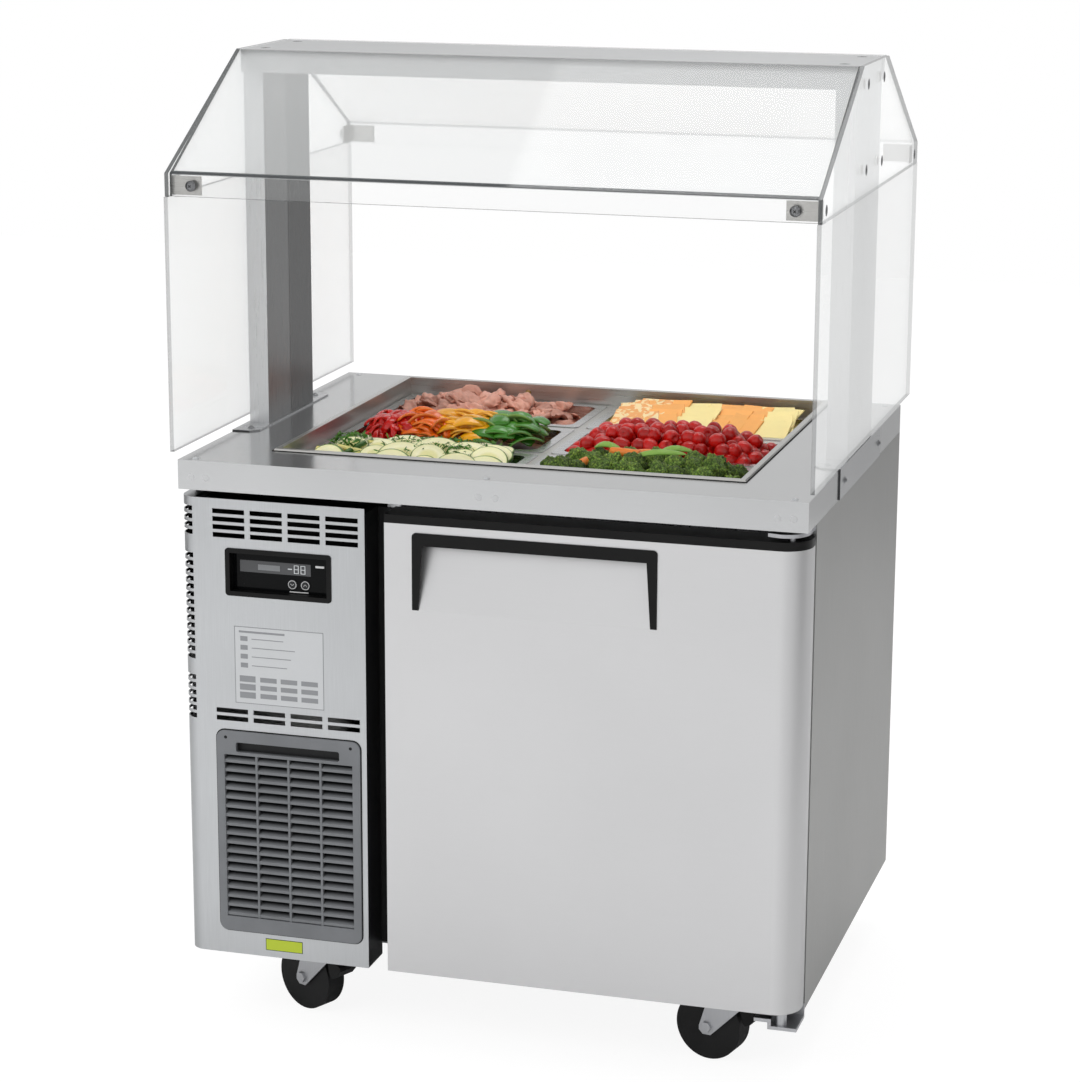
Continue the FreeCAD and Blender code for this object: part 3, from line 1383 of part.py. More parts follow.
def make_guard_hardware():
    """Lip brackets in the four lower corners and hex standoffs from posts to end panes."""
    pieces = []
    long, tall, t = S.bracket_length, S.bracket_height, S.bracket_sheet
    foot, corner_y = LIP_Z + 2, LIP_Y - S.glass_sheet
    for side in (-1, 1):
        start = POST_OUTER if side > 0 else -GLASS_INSIDE
        for y in (-S.bolt_offset, S.bolt_offset):
            for z in (GLASS_TOP - S.bolt_drop, TOP + S.bolt_height):
                pieces.append(prism("standoff", (start, y, z), S.standoff_radius,
                                    GLASS_INSIDE - POST_OUTER, 6, "X"))
        for end in (-1, 1):
            # One leg lies inside the end pane and the other behind the lip.
            body = start_body("lip_bracket")
            x, y, turn = GLASS_INSIDE, corner_y, long * 0.6
            pad(body, "XY_Plane", foot, tall, lambda s: outline(s, [
                (side * x, end * y), (side * (x - long), end * y),
                (side * (x - long), end * (y - t)), (side * (x - t), end * (y - t)),
                (side * (x - t), end * (y - turn)), (side * x, end * (y - turn))]))
            pieces.append(body)
    node(group("guard_hardware", pieces), "guard_hardware")


# ---------------------------------------------------------------------------------------------
# Casters
# ---------------------------------------------------------------------------------------------
CASTERS = {
    "front_left": (LEFT + S.caster_left_inset, FRONT + S.caster_inset, S.front_left_swivel),
    "front_right": (RIGHT - S.caster_right_inset, FRONT + S.caster_inset, S.front_right_swivel),
    "rear_left": (LEFT + S.caster_left_inset, REAR - S.caster_inset, S.rear_left_swivel),
    "rear_right": (RIGHT - S.caster_right_inset, REAR - S.caster_inset, S.rear_right_swivel),
}
FORK_INNER = S.wheel_hub + 0.3
FORK_OUTER = FORK_INNER + S.fork_sheet
AXLE_HEAD = 4
RACE_FOOT = S.base_height - S.caster_plate_sheet - S.race_height


def make_caster_plates():
    """Mounting plates with the fixed race and the kingpin that the forks hang on."""
    pieces = []
    for name, (x, y, _) in CASTERS.items():
        body = start_body("caster_plate")
        sheet = S.caster_plate_sheet
        half_x, half_y = S.caster_plate_length / 2, S.caster_plate_width / 2
        pad(body, "XY_Plane", S.base_height - sheet, sheet,
            lambda s: rectangle(s, -half_x, half_x, -half_y, half_y))
        flat = S.race_radius * 0.414
        pad(body, "XY_Plane", RACE_FOOT, S.race_height, lambda s: outline(s, [
            (-S.race_radius, -flat), (-flat, -S.race_radius), (flat, -S.race_radius),
            (S.race_radius, -flat), (S.race_radius, flat), (flat, S.race_radius),
            (-flat, S.race_radius), (-S.race_radius, flat)]))
        pad(body, "XY_Plane", RACE_FOOT - 9, 9, lambda s: circle(s, 0, 0, S.kingpin_radius))
        place_body(body, x, y, 0)
        pieces.append(body)
    node(group("caster_plates", pieces), "caster_plates")


def make_fork(name, braked):
    """Pressed fork: a crown folded down into two legs that rake back to the axle bolt."""
    x, y, swivel = CASTERS[name]
    body = start_body(f"fork_{name}")
    crown, sheet = S.crown_radius, S.fork_sheet
    top = RACE_FOOT - 0.3
    trail, axle_z = S.caster_trail, S.wheel_radius
    boss, bevel = 12, 6
    back, nose = -crown * 0.8, S.brake_pivot_x + 8
    nose_z = S.brake_pivot_z - 7
    pad(body, "XY_Plane", top - sheet, sheet,
        lambda s: rectangle(s, back, nose, -FORK_OUTER, FORK_OUTER))
    for low in (-FORK_OUTER, FORK_INNER):
        pad(body, "XZ_Plane", low, sheet, lambda s: outline(s, [
            (-trail - boss, axle_z), (-trail - boss, axle_z - bevel),
            (-trail - bevel, axle_z - boss), (bevel - trail, axle_z - boss),
            (boss - trail, axle_z - bevel), (nose, nose_z), (nose, top),
            (back, top), (back, top - 12)]))
    pocket(body, "XY_Plane", top, sheet,
           lambda s: circle(s, 0, 0, S.kingpin_radius + S.pin_clearance))
    pad(body, "XZ_Plane", -FORK_INNER, 2 * FORK_INNER,
        lambda s: circle(s, -trail, axle_z, S.axle_radius))
    # A hex head on one side and a hex nut on the other close the axle bolt.
    for low in (-FORK_OUTER - AXLE_HEAD, FORK_OUTER):
        pad(body, "XZ_Plane", low, AXLE_HEAD, lambda s: outline(s, [
            (-trail - 8, axle_z), (-trail - 4, axle_z - 7), (4 - trail, axle_z - 7),
            (8 - trail, axle_z), (4 - trail, axle_z + 7), (-trail - 4, axle_z + 7)]))
    if braked:
        pad(body, "XZ_Plane", -FORK_INNER, 2 * FORK_INNER,
            lambda s: circle(s, S.brake_pivot_x, S.brake_pivot_z, S.brake_pin))
    place_body(body, x, y, 0, swivel)
    node(body, f"caster_{name}_fork")


def make_wheel(name):
    """Solid rubber wheel, turned about its own axle."""
    x, y, swivel = CASTERS[name]
    body = start_body(f"wheel_{name}")
    r, half = S.wheel_radius, S.wheel_width / 2
    bore = S.axle_radius + S.pin_clearance
    sketch = new_sketch(body, "YZ_Plane", -S.caster_trail)
    rectangle(sketch, -half, half, r + bore, 2 * r)
    line = sketch.addGeometry(Part.LineSegment(
        FreeCAD.Vector(-60, r.value), FreeCAD.Vector(60, r.value)), True)
    pin_point(sketch, line, 1, -60, r)
    pin_point(sketch, line, 2, 60, r)
    turned = body.newObject("PartDesign::Revolution", "wheel_turned")
    turned.Profile = sketch
    turned.ReferenceAxis = (sketch, ["Axis0"])
    turned.Angle = 360
    body.Tip = turned
    place_body(body, x, y, 0, swivel)
    node(body, f"caster_{name}_wheel")


def make_brake(name):
    """Foot pedal between the fork's legs, on the side away from the wheel."""
    x, y, swivel = CASTERS[name]
    body = start_body(f"brake_{name}")
    px, pz = S.brake_pivot_x, S.brake_pivot_z
    width = FORK_INNER - 0.5
    pad(body, "XZ_Plane", -width, 2 * width, lambda s: outline(s, [
        (px - 6, pz - 3), (px - 5, pz + 6), (px + 4, pz + 6), (px + 17, pz - 3),
        (px + 32, pz - 10), (px + 32, pz - 16), (px + 22, pz - 28), (px + 14, pz - 31),
        (px + 10, pz - 26), (px + 6, pz - 8)]))
    pocket(body, "XZ_Plane", width, 2 * width,
           lambda s: circle(s, px, pz, S.brake_pin + S.pin_clearance))
    place_body(body, x, y, 0, swivel)
    node(body, f"caster_{name}_brake")


# ---------------------------------------------------------------------------------------------
# Build
# ---------------------------------------------------------------------------------------------
make_worktop()
make_pan_well()
make_pan_grid()
for row_name in PAN_ROWS:
    for column_name in PAN_COLUMNS:
        make_pan(row_name, column_name)
make_insulation_foam()
make_inner_liner()
make_side_panel("side_panel_right", False)
make_side_panel("side_panel_left", True)
make_rear_panels()
make_base_pan()
make_front_frame()
make_machine_front_panel()
make_panel_bracket()
make_control_box()
make_display_lens()
for button_name in BUTTON_X:
    make_button(button_name)
make_intake_grille()
make_condenser_coil()
make_fan_shroud()
make_condenser_fan()
make_compressor()
make_evaporator()
make_wire_shelf()
make_shelf_supports()
make_door_skin()
make_door_inner_panel()
make_door_end_caps()
make_door_gasket()
make_door_handle()
make_hinges()
make_guard_posts()
make_base_angles()
make_guard_beam()
make_bent_glass("front_glass", -1)
make_bent_glass("rear_glass", 1)
make_end_glass("end_glass_left", -1)
make_end_glass("end_glass_right", 1)
make_side_glass()
make_guard_hardware()
make_caster_plates()
for caster_name in CASTERS:
    make_fork(caster_name, caster_name.startswith("front"))
    make_wheel(caster_name)
for caster_name in ("front_left", "front_right"):
    make_brake(caster_name)

DOCUMENT.recompute()
for item in DOCUMENT.Objects:
    if "Invalid" in item.State or "Error" in item.State:
        raise ValueError(f"{item.Label} failed: {item.State}")
os.makedirs("parts", exist_ok=True)
for item in NODES:
    if item.Shape.isNull() or not item.Shape.isValid():
        raise ValueError(f"{item.Label} has no valid shape")
for item in NODES:
    item.Shape.exportStep(f"parts/{item.Label}.step")
print(len(NODES), "nodes written")
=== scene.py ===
# %% [markdown]
# # A refrigerated salad bar
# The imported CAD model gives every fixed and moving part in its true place. This lesson dresses it:
# a camera and a plain studio, then one finish after another, then the small fasteners and prints
# that are too fine for the solids, and last the food in the six pans. Everything is in metres.

# %% Load the frame
import math
import random

import bmesh
import bpy
import numpy as np
from mathutils import Euler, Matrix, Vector, noise


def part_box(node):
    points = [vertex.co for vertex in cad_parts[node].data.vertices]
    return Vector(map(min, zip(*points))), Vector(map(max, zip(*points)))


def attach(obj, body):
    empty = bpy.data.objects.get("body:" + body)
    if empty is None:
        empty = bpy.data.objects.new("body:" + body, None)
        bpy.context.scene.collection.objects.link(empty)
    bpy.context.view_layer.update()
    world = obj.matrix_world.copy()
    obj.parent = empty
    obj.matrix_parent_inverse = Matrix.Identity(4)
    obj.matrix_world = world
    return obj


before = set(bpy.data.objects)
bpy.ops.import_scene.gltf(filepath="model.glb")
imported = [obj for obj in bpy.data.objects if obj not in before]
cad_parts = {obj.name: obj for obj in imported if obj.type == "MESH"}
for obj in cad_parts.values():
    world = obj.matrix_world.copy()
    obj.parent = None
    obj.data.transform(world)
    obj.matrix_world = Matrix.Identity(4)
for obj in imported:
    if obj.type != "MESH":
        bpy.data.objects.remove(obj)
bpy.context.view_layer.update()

random.seed(7)
MM = 0.001
CORNERS = [f"{end}_{side}" for end in ("front", "rear") for side in ("left", "right")]
PANS = [f"pan_{row}_{side}" for row in ("front", "middle", "rear") for side in ("left", "right")]


def box_mm(name):
    """Lowest and highest corner of a CAD node in millimetres."""
    return [np.array(corner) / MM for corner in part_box(name)]


# %% [markdown]
# ## Colours and nodes
# Shaders work in linear light, but colours are easiest to read off a screen as sRGB hex values.
# One function turns the hex value to linear. A second one adds a node with its settings and
# links, so that each material below reads as a short list of what its surface is made of. A
# node's first output is nearly always the one that is wanted, so naming the node is enough.

# %% Colour and node helpers
def linear(colour):
    """Linear RGBA of an sRGB hex colour."""
    channels = [int(colour[i:i + 2], 16) / 255 for i in (1, 3, 5)]
    return [c / 12.92 if c <= 0.04045 else ((c + 0.055) / 1.055) ** 2.4 for c in channels] + [1]


def feed(node, inputs):
    """Set a node's inputs to plain values, or link them to a socket or to a node's first one."""
    for name, value in inputs.items():
        if isinstance(value, bpy.types.Node):
            value = value.outputs[0]
        if isinstance(value, bpy.types.NodeSocket):
            node.id_data.links.new(value, node.inputs[name])
        else:
            node.inputs[name].default_value = value


def add_node(tree, kind, settings=None, inputs=None):
    """Add a node with its settings and links. Its kind is named without "ShaderNode"."""
    made = tree.nodes.new("ShaderNode" + kind)
    for name, value in (settings or {}).items():
        setattr(made, name, value)
    feed(made, inputs or {})
    return made


def start_material(name, values):
    """A material with one Principled shader that holds the values given."""
    material = bpy.data.materials.new(name)
    material.use_nodes = True
    tree = material.node_tree
    tree.nodes.clear()
    shader = add_node(tree, "BsdfPrincipled", inputs=values)
    add_node(tree, "OutputMaterial", inputs={"Surface": shader})
    return material, tree, shader


# %% [markdown]
# ## Camera
# The view was worked out from the straight edges of the counter. A long lens keeps the verticals
# nearly parallel, as a product photographer would, and the camera stands a little above the
# guard so that it looks down into the pans.

# %% Camera
CAMERA_PLACE = (1.2057, -4.1782, 1.7330)
CAMERA_TURN = (76.246, -0.222, 16.490)
LENS_MM = 100.46


def add_object(name, data, place=(0, 0, 0), turn=(0, 0, 0)):
    """Put an object in the scene, turned by degrees about X, Y and Z."""
    made = bpy.data.objects.new(name, data)
    made.location = place
    made.rotation_euler = [math.radians(angle) for angle in turn]
    bpy.context.collection.objects.link(made)
    return made


camera_data = bpy.data.cameras.new("camera")
camera_data.lens = LENS_MM
camera_data.sensor_fit = "HORIZONTAL"
camera_data.sensor_width = 36
bpy.context.scene.camera = add_object("camera", camera_data, CAMERA_PLACE, CAMERA_TURN)
bpy.context.scene.view_settings.view_transform = "Standard"

# %% [markdown]
# ## Studio
# The counter stands on a white sweep. The world is plain white to the camera and to reflections,
# and gives a soft grey light to everything else. Two wide lamps add shape. Polished and brushed
# steel mostly shows what stands round it, so a photographer puts grey cards round the object to
# draw its side faces darker than its front. These cards show only in reflections.

# %% Studio
AMBIENT = 0.66
FLOOR_SIZE = 14.0


def plane(name, size, place=(0, 0, 0), turn=(0, 0, 0)):
    """A flat rectangle about its own centre."""
    x, y = size[0] / 2, size[1] / 2
    mesh = bpy.data.meshes.new(name)
    mesh.from_pydata([(-x, -y, 0), (x, -y, 0), (x, y, 0), (-x, y, 0)], [], [(0, 1, 2, 3)])
    return add_object(name, mesh, place, turn)


floor = plane("floor", (FLOOR_SIZE, FLOOR_SIZE))
floor_paper, tree, shader = start_material("white_paper_sweep", {
    "Roughness": 0.9, "Specular IOR Level": 0.1, "Emission Color": linear("#ffffff")})
ray = add_node(tree, "LightPath")
seen = add_node(tree, "Math", {"operation": "MAXIMUM"},
                {0: ray.outputs["Is Camera Ray"], 1: ray.outputs["Is Transmission Ray"]})
paper = add_node(tree, "Mix", {"data_type": "RGBA"},
                 {0: seen, 6: linear("#f7f7f7"), 7: linear("#6e6e6e")})
glow = add_node(tree, "Math", {"operation": "MULTIPLY"}, {0: seen, 1: 0.9})
feed(shader, {"Base Color": paper.outputs[2], "Emission Strength": glow})
floor.data.materials.append(floor_paper)

world = bpy.data.worlds.new("studio")
bpy.context.scene.world = world
world.use_nodes = True
tree = world.node_tree
tree.nodes.clear()
ray = add_node(tree, "LightPath")
shown = ray
for kind in ("Is Glossy Ray", "Is Transmission Ray"):
    shown = add_node(tree, "Math", {"operation": "MAXIMUM"}, {0: shown, 1: ray.outputs[kind]})
strength = add_node(tree, "MapRange", inputs={"Value": shown, "To Min": AMBIENT, "To Max": 1.0})
light = add_node(tree, "Background", inputs={"Color": linear("#ffffff"), "Strength": strength})
add_node(tree, "OutputWorld", inputs={"Surface": light})


def softbox(name, place, aim, size, watts, mirrored):
    """A wide rectangular lamp pointed at a place, which mirrors show or not."""
    data = bpy.data.lights.new(name, "AREA")
    data.shape = "RECTANGLE"
    data.size, data.size_y = size
    data.energy = watts
    made = add_object(name, data, place)
    made.rotation_euler = (Vector(aim) - Vector(place)).to_track_quat("-Z", "Y").to_euler()
    made.visible_glossy = mirrored


softbox("key_softbox", (-2.6, -3.6, 3.6), (0, 0, 0.8), (2.4, 2.4), 95, False)
softbox("top_softbox", (0.2, 0.6, 3.8), (0, 0, 0.9), (2.0, 2.0), 42, True)


def reflection_card(name, size, place, turn, shade):
    """A grey card that only mirrored rays can see."""
    card = plane(name, size, place, turn)
    material, _, _ = start_material(name + "_paper", {
        "Base Color": linear("#000000"), "Roughness": 1.0, "Specular IOR Level": 0.0,
        "Emission Color": linear(shade), "Emission Strength": 1.0})
    card.data.materials.append(material)
    card.visible_camera = False
    card.visible_diffuse = False
    card.visible_shadow = False
    card.visible_transmission = False


reflection_card("side_card", (5.0, 3.4), (2.65, 2.9, 1.2), (90, 0, 0), "#b4b4b4")
reflection_card("right_card", (2.6, 3.4), (3.6, -0.4, 1.2), (90, 0, 90), "#7c7c7c")
reflection_card("left_card", (4.0, 3.4), (-3.6, 1.0, 1.2), (90, 0, 90), "#7c7c7c")
reflection_card("back_card", (14.0, 5.0), (-1.5, 5.2, 2.6), (90, 0, 0), "#dedede")
reflection_card("ceiling_card", (9.0, 9.0), (0, 0, 5.0), (0, 0, 0), "#d2d2d2")

# %% [markdown]
# ## Brushed stainless steel
# Every outer sheet is austenitic stainless with a brushed or satin finish. An abrasive belt runs
# one way over the sheet, so its marks are long along the belt and very fine across it. Noise that
# is stretched along the belt's direction gives the streaks. It varies the colour a little and
# the roughness more, because it is mostly the gloss that changes from mark to mark. Real marks
# are about a tenth of a millimetre wide, too fine to show, so they are drawn a few times coarser.

# %% Steel finishes
MARK_LENGTH = 90  # how many times longer a brush mark is than it is wide


def dimmed(tree, colour, dim):
    """A colour times the factor that dim(tree) gives: painted shade, darker where a surface faces
    a darker part of the room."""
    if dim is None:
        return colour
    return add_node(tree, "VectorMath", {"operation": "SCALE"}, {0: colour, "Scale": dim(tree)})


def brushed_steel(name, shade, run, roughness, contrast=0.05, mark=0.7 * MM, dim=None):
    """Stainless sheet whose brush marks run along the X, Y or Z axis."""
    material, tree, shader = start_material(name, {"Metallic": 1.0})
    place = add_node(tree, "TexCoord")
    scale = [1 / (mark * MARK_LENGTH) if axis == run else 1 / mark for axis in "XYZ"]
    along = add_node(tree, "Mapping", inputs={"Vector": place.outputs["Object"], "Scale": scale})
    streak = add_node(tree, "TexNoise", inputs={"Vector": along, "Scale": 1.0, "Detail": 3.0})
    cloud = add_node(tree, "TexNoise",
                     inputs={"Vector": place.outputs["Object"], "Scale": 4.0, "Detail": 1.0})
    blend = add_node(tree, "Math", {"operation": "ADD"}, {0: streak, 1: cloud})
    red, green, blue, _ = linear(shade)
    dark = [channel * (1 - 2.5 * contrast) for channel in (red, green, blue)] + [1]
    pale = [min(1, channel * (1 + 2.5 * contrast)) for channel in (red, green, blue)] + [1]
    tone = add_node(tree, "MapRange", inputs={"Value": blend, "From Min": 0.6, "From Max": 1.4})
    colour = add_node(tree, "Mix", {"data_type": "RGBA"}, {0: tone, 6: dark, 7: pale})
    gloss = add_node(tree, "MapRange", inputs={
        "Value": streak, "From Min": 0.3, "From Max": 0.7,
        "To Min": roughness - 0.06, "To Max": roughness + 0.06})
    bump = add_node(tree, "Bump", inputs={
        "Height": streak, "Strength": 0.12, "Distance": 0.05 * MM})
    feed(shader, {"Base Color": dimmed(tree, colour.outputs[2], dim), "Roughness": gloss,
                  "Normal": bump})
    return material


def fades(output, low, high, limits):
    """A dim() that runs between two factors as one output of Texture Coordinate passes limits.
    The output is named with its axis, such as "Normal Y"."""
    source, axis = output.split()

    def factor(tree):
        place = add_node(tree, "TexCoord")
        parts = add_node(tree, "SeparateXYZ", inputs={"Vector": place.outputs[source]})
        return add_node(tree, "MapRange", inputs={
            "Value": parts.outputs[axis], "From Min": limits[0], "From Max": limits[1],
            "To Min": low, "To Max": high})

    return factor


def both(first, second):
    """A dim() that multiplies two others."""
    return lambda tree: add_node(tree, "Math", {"operation": "MULTIPLY"},
                                 {0: first(tree), 1: second(tree)})


SEAM_HALF = 0.8 * MM


def post_shade(tree):
    """The posts' long inner faces look at each other and stay dark, darkest behind the seam."""
    place = add_node(tree, "TexCoord")
    at = add_node(tree, "SeparateXYZ", inputs={"Vector": place.outputs["Object"]})
    facing = add_node(tree, "SeparateXYZ", inputs={"Vector": place.outputs["Normal"]})
    inward = add_node(tree, "Math", {"operation": "MULTIPLY"},
                      {0: at.outputs["X"], 1: facing.outputs["X"]})
    inner = add_node(tree, "Math", {"operation": "LESS_THAN"}, {0: inward, 1: -0.1})
    seam = add_node(tree, "Math", {"operation": "COMPARE"},
                    {0: at.outputs["Y"], 1: 0.0, 2: SEAM_HALF})
    depth = add_node(tree, "MapRange", inputs={
        "Value": at.outputs["Y"], "From Min": -6 * MM, "From Max": 6 * MM,
        "To Min": 0.5, "To Max": 0.68})
    loss = add_node(tree, "Math", {"operation": "MULTIPLY_ADD"}, {0: seam, 1: 0.2, 2: depth})
    lost = add_node(tree, "Math", {"operation": "MULTIPLY"}, {0: inner, 1: loss})
    return add_node(tree, "Math", {"operation": "SUBTRACT"}, {0: 1.0, 1: lost})


def dress(material, *names):
    """Give CAD nodes a finish."""
    for name in names:
        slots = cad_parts[name].data.materials
        slots.clear()
        slots.append(material)


dress(brushed_steel("worktop_stainless", "#c6c7c8", "X", 0.17, 0.025), "worktop")
# Painted shadow: the base angles' front edges are drawn almost black.
dress(brushed_steel("base_angle_stainless", "#c0c1c3", "X", 0.28, 0.04,
                    dim=fades("Normal Y", 0.12, 1.0, (-0.8, -0.6))), "base_angles")
# Painted shade: the door's rounded right corner is drawn darker, as it faces the darker right of the
# room.
dress(brushed_steel("door_stainless", "#d2d2d3", "X", 0.40, 0.012,
                    dim=fades("Normal X", 1.0, 0.84, (0.1, 0.6))), "door_skin")
# Painted shade: the panel's rounded left corner is drawn darker.
dress(brushed_steel("machine_panel_stainless", "#bec0c2", "Z", 0.34, 0.04,
                    dim=fades("Normal X", 0.72, 1.0, (-0.7, -0.05))), "machine_front_panel")
# Painted shade: the side and rear sheets are drawn darker than the front steel, as the side that the
# camera sees faces away from the light.
dress(brushed_steel("side_panel_steel", "#a1a1a0", "Z", 0.46, 0.02),
      "side_panel_right", "side_panel_left", "rear_panel", "rear_vent_cover")
dress(brushed_steel("post_stainless", "#c8c9ca", "Z", 0.32, 0.03, dim=post_shade), "guard_posts")
dress(brushed_steel("beam_stainless", "#c3c4c5", "X", 0.36, 0.03), "guard_beam")
dress(brushed_steel("well_stainless", "#c2c1be", "X", 0.32, 0.03),
      "pan_well", "pan_grid", "guard_hardware")
dress(brushed_steel("pan_stainless", "#c2c3c4", "X", 0.24, 0.02), *PANS)
dress(brushed_steel("liner_stainless", "#c6c7c9", "Z", 0.30, 0.03),
      "inner_liner", "front_frame", "shelf_supports")
dress(brushed_steel("zinc_plated_steel", "#b4b5b8", "Z", 0.38, 0.05),
      "base_pan", "caster_plates", "hinge_upper", "hinge_lower",
      *(f"caster_{corner}_fork" for corner in CORNERS))
print("steel finishes:", len(bpy.data.materials))

# %% [markdown]
# ## Moulded plastics, rubber and foam
# The pull, the door's end caps and the control housing are moulded ABS with a fine leather
# texture, so their gloss is broken up by small bumps 0.6 mm apart. The grille is the same plastic
# in grey, painted darker inwards and on the louvres' undersides as shade where its louvres shade
# each other. Wheels and gasket are rubber, rougher and a little lighter where they are scuffed.
# One function serves them all, because all are grained mouldings.

# %% Moulded finishes
def grained(name, colour, roughness, grain, depth, scuff=0.15, dim=None, shine=0.3):
    """A moulded surface with a fine grain and a slightly uneven tone."""
    material, tree, shader = start_material(name, {
        "Roughness": roughness, "Specular IOR Level": shine})
    place = add_node(tree, "TexCoord")
    cells = add_node(tree, "TexVoronoi",
                     inputs={"Vector": place.outputs["Object"], "Scale": 1 / grain})
    cloud = add_node(tree, "TexNoise",
                     inputs={"Vector": place.outputs["Object"], "Scale": 18.0, "Detail": 4.0})
    base = linear(colour)
    worn = [min(1, channel * (1 + scuff) + 0.004 * scuff) for channel in base[:3]] + [1]
    tone = add_node(tree, "MapRange", inputs={"Value": cloud, "From Min": 0.35, "From Max": 0.7})
    shade = add_node(tree, "Mix", {"data_type": "RGBA"}, {0: tone, 6: base, 7: worn})
    bump = add_node(tree, "Bump", inputs={"Height": cells, "Strength": 0.3, "Distance": depth})
    feed(shader, {"Base Color": dimmed(tree, shade.outputs[2], dim), "Normal": bump})
    return material


dress(grained("black_abs", "#0d0d0d", 0.42, 0.6 * MM, 0.04 * MM, shine=0.18),
      "door_handle", "door_end_caps", "control_box", "condenser_fan",
      "caster_front_left_brake", "caster_front_right_brake")
GRILLE_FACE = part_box("intake_grille")[0][1]
# Painted shade: the grille is drawn darker deeper in and on faces that look down, between its
# louvres.
dress(grained("grey_abs", "#6f7174", 0.5, 0.6 * MM, 0.04 * MM,
              dim=both(fades("Object Y", 1.0, 0.08, (GRILLE_FACE + 3 * MM, GRILLE_FACE + 10 * MM)),
                       fades("Normal Z", 0.1, 1.0, (-0.7, -0.3)))), "intake_grille")
dress(grained("white_polystyrene", "#dcdcd8", 0.4, 0.8 * MM, 0.02 * MM, 0.03),
      "door_inner_panel", "evaporator_cover", "evaporator_fan")
dress(grained("black_caster_rubber", "#0b0b0c", 0.6, 1.2 * MM, 0.08 * MM, 0.6),
      *(f"caster_{corner}_wheel" for corner in CORNERS))
dress(grained("black_gasket_vinyl", "#101011", 0.5, 0.8 * MM, 0.03 * MM), "door_gasket")
dress(grained("black_stove_enamel", "#151516", 0.36, 0.9 * MM, 0.03 * MM),
      "panel_bracket", "compressor")
dress(grained("white_coated_wire", "#d9dadb", 0.3, 1.5 * MM, 0.02 * MM, 0.03), "wire_shelf")
dress(grained("smoked_acrylic", "#08090a", 0.08, 2.0 * MM, 0.002 * MM, shine=0.1), "display_lens")
dress(grained("grey_key_rubber", "#2a2b2d", 0.5, 0.6 * MM, 0.03 * MM), "button_down", "button_up")

# The foam is drawn almost black where the machine compartment and the face gap look onto it: painted
# shade inside those openings.
MULLION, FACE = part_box("inner_liner")[0][:2]
dress(grained("polyurethane_foam", "#d9c98f", 0.9, 2.0 * MM, 0.4 * MM,
              dim=both(fades("Object X", 0.01, 1.0, (MULLION - 4 * MM, MULLION - 2 * MM)),
                       fades("Object Y", 0.01, 1.0, (FACE + 4 * MM, FACE + 6 * MM)))),
      "insulation_foam")

# %% [markdown]
# ## Finned coils
# Coil fins are mill-finish aluminium sheet, pale and dull, with the shadow of the tubes between
# them. A wave of light and dark across the solids stands for the fins. Real ones are about two
# millimetres apart, too fine to show, so they are drawn several times coarser.

# %% Aluminium fins
FIN_WAVE = 12.6 * MM
WAVE_UNIT = 2 * math.pi / 20  # length of one band of the Wave texture at a scale of 1
fin_aluminium, tree, shader = start_material("mill_finish_aluminium_fins", {
    "Metallic": 1.0, "Roughness": 0.45})
place = add_node(tree, "TexCoord")
fins = add_node(tree, "TexWave", {"bands_direction": "X"},
                {"Vector": place.outputs["Object"], "Scale": WAVE_UNIT / FIN_WAVE,
                 "Distortion": 0.4})
shade = add_node(tree, "Mix", {"data_type": "RGBA"},
                 {0: fins.outputs["Fac"], 6: linear("#7b7d80"), 7: linear("#c9cbce")})
feed(shader, {"Base Color": shade.outputs[2]})
dress(fin_aluminium, "condenser_coil", "evaporator_coil", "fan_shroud")

# %% [markdown]
# ## Clear guard panes
# The guard is six millimetre clear acrylic with polished edges. Seen face on it takes almost
# nothing from the light; seen at a slant it mirrors more, as Fresnel's law says; and its edges
# look dark, because light that enters the sheet leaves it there. Tracing that is slow and noisy,
# so the opacity follows a Fresnel term, and a mask picks out the edges from the direction that
# each face looks in. The bend of the front and rear panes gets the same fine dark line.

# %% Clear panes
EDGE_TINT = "#3a3e40"
BEND_LINE = 1.6 * MM  # half the height of the dark line at a bend
SIDEWAYS, LEVEL = 0.5, 0.96  # how far a face's normal leans to X, and to Z


